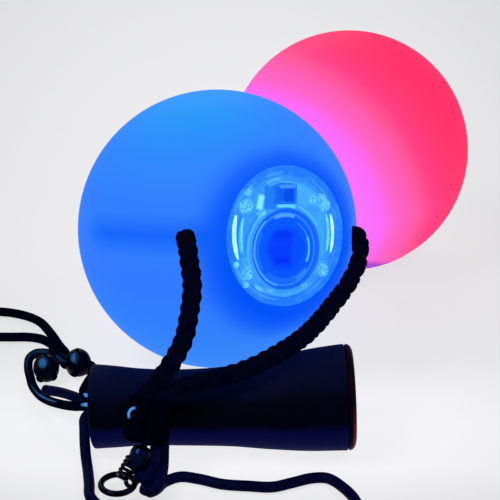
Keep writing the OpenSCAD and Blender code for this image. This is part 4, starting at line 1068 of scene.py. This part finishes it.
# ------------------------------------------------------------------ floor and light
bm = bmesh.new()
bmesh.ops.create_grid(bm, x_segments=2, y_segments=2, size=4)
floor = link("floor", bm, smooth=False)
floor.location = (0, 1.2, -0.0002)
mt, nt, b = material("floor_paper")
t = node(nt, "ShaderNodeTexCoord")
sep = node(nt, "ShaderNodeSeparateXYZ")
nt.links.new(t.outputs["Object"], sep.inputs[0])
# painted light: the floor glows brightest in a band just in front of the blue ball, darker towards the camera and
# further back, and dimmer towards the sides
fy = math_node(nt, "SUBTRACT", math_node(nt, "ADD", math_node(nt, "MULTIPLY", sep.outputs[1], 1000.0), 1200.0), OY)
fx = math_node(nt, "SUBTRACT", math_node(nt, "MULTIPLY", sep.outputs[0], 1000.0), OX + 9.4)
painted_light_tone = ramp(nt, [(0.0, (0.54, 0.54, 0.56, 1)), (0.075, (0.66, 0.66, 0.68, 1)), (0.10, (0.77, 0.77, 0.79, 1)), (0.125, (0.875, 0.875, 0.89, 1)), (0.16, (0.90, 0.90, 0.915, 1)), (0.19, (0.875, 0.875, 0.89, 1)),
                 (0.225, (0.80, 0.80, 0.815, 1)), (0.30, (0.79, 0.79, 0.805, 1)), (0.45, (0.77, 0.77, 0.785, 1)), (0.7, (0.735, 0.735, 0.75, 1)), (1.0, (0.68, 0.68, 0.695, 1))])
nt.links.new(map_range(nt, fy, -130, 420, 0, 1), painted_light_tone.inputs[0])
q = math_node(nt, "DIVIDE", fx, math_node(nt, "ADD", math_node(nt, "MULTIPLY", fy, 0.18), 68.0))
q2 = math_node(nt, "MINIMUM", math_node(nt, "MULTIPLY", q, q), 2.0)
grain = noise_tex(nt, coords(nt), 0.05, 3, 0.5)
dim = math_node(nt, "SUBTRACT", math_node(nt, "SUBTRACT", 1.0, math_node(nt, "MULTIPLY", q2, 0.09)), math_node(nt, "MULTIPLY", grain, 0.01))
mul = node(nt, "ShaderNodeVectorMath", operation="SCALE")
nt.links.new(painted_light_tone.outputs[0], mul.inputs[0])
nt.links.new(dim, mul.inputs["Scale"])
nt.links.new(mul.outputs[0], b.inputs["Emission Color"])
b.inputs["Emission Strength"].default_value = 0.93
b.inputs["Base Color"].default_value = (0.1, 0.1, 0.1, 1)
b.inputs["Roughness"].default_value = 0.9
b.inputs["Specular IOR Level"].default_value = 0.0
set_mat(floor, mt)
floor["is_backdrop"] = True

world = bpy.data.worlds.new("studio")
scene.world = world
world.use_nodes = True
bg = world.node_tree.nodes.get("Background") or world.node_tree.nodes.new("ShaderNodeBackground")
bg.inputs[0].default_value = (0.93, 0.94, 0.96, 1)
bg.inputs[1].default_value = 0.6


def area(name, loc, target, size, power, colour=(1, 1, 1)):
    d = bpy.data.lights.new(name, "AREA")
    d.energy, d.size, d.color = power, size, colour
    o = bpy.data.objects.new(name, d)
    scene.collection.objects.link(o)
    o.location = W(loc)
    o.rotation_euler = (W(target) - W(loc)).to_track_quat("-Z", "Y").to_euler()
    return o


area("key", (-420, -300, 700), (-20, -40, 10), 0.35, 5)
area("fill", (500, -200, 600), (0, 0, 20), 0.3, 2)
area("back", (-100, 700, 500), (0, 0, 20), 0.5, 4)

bpy.context.view_layer.update()
now = [[float(x) for x in v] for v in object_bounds()]
bpy.context.view_layer.update()
for ob in bpy.data.objects:
    if ob.type == "MESH" and "grip_foam" in ob.name:
        inv = ob.matrix_world.inverted()
        for v in ob.data.vertices:
            w = ob.matrix_world @ v.co
            if w.z < -0.00012:
                w.z = -0.00012
                v.co = inv @ w
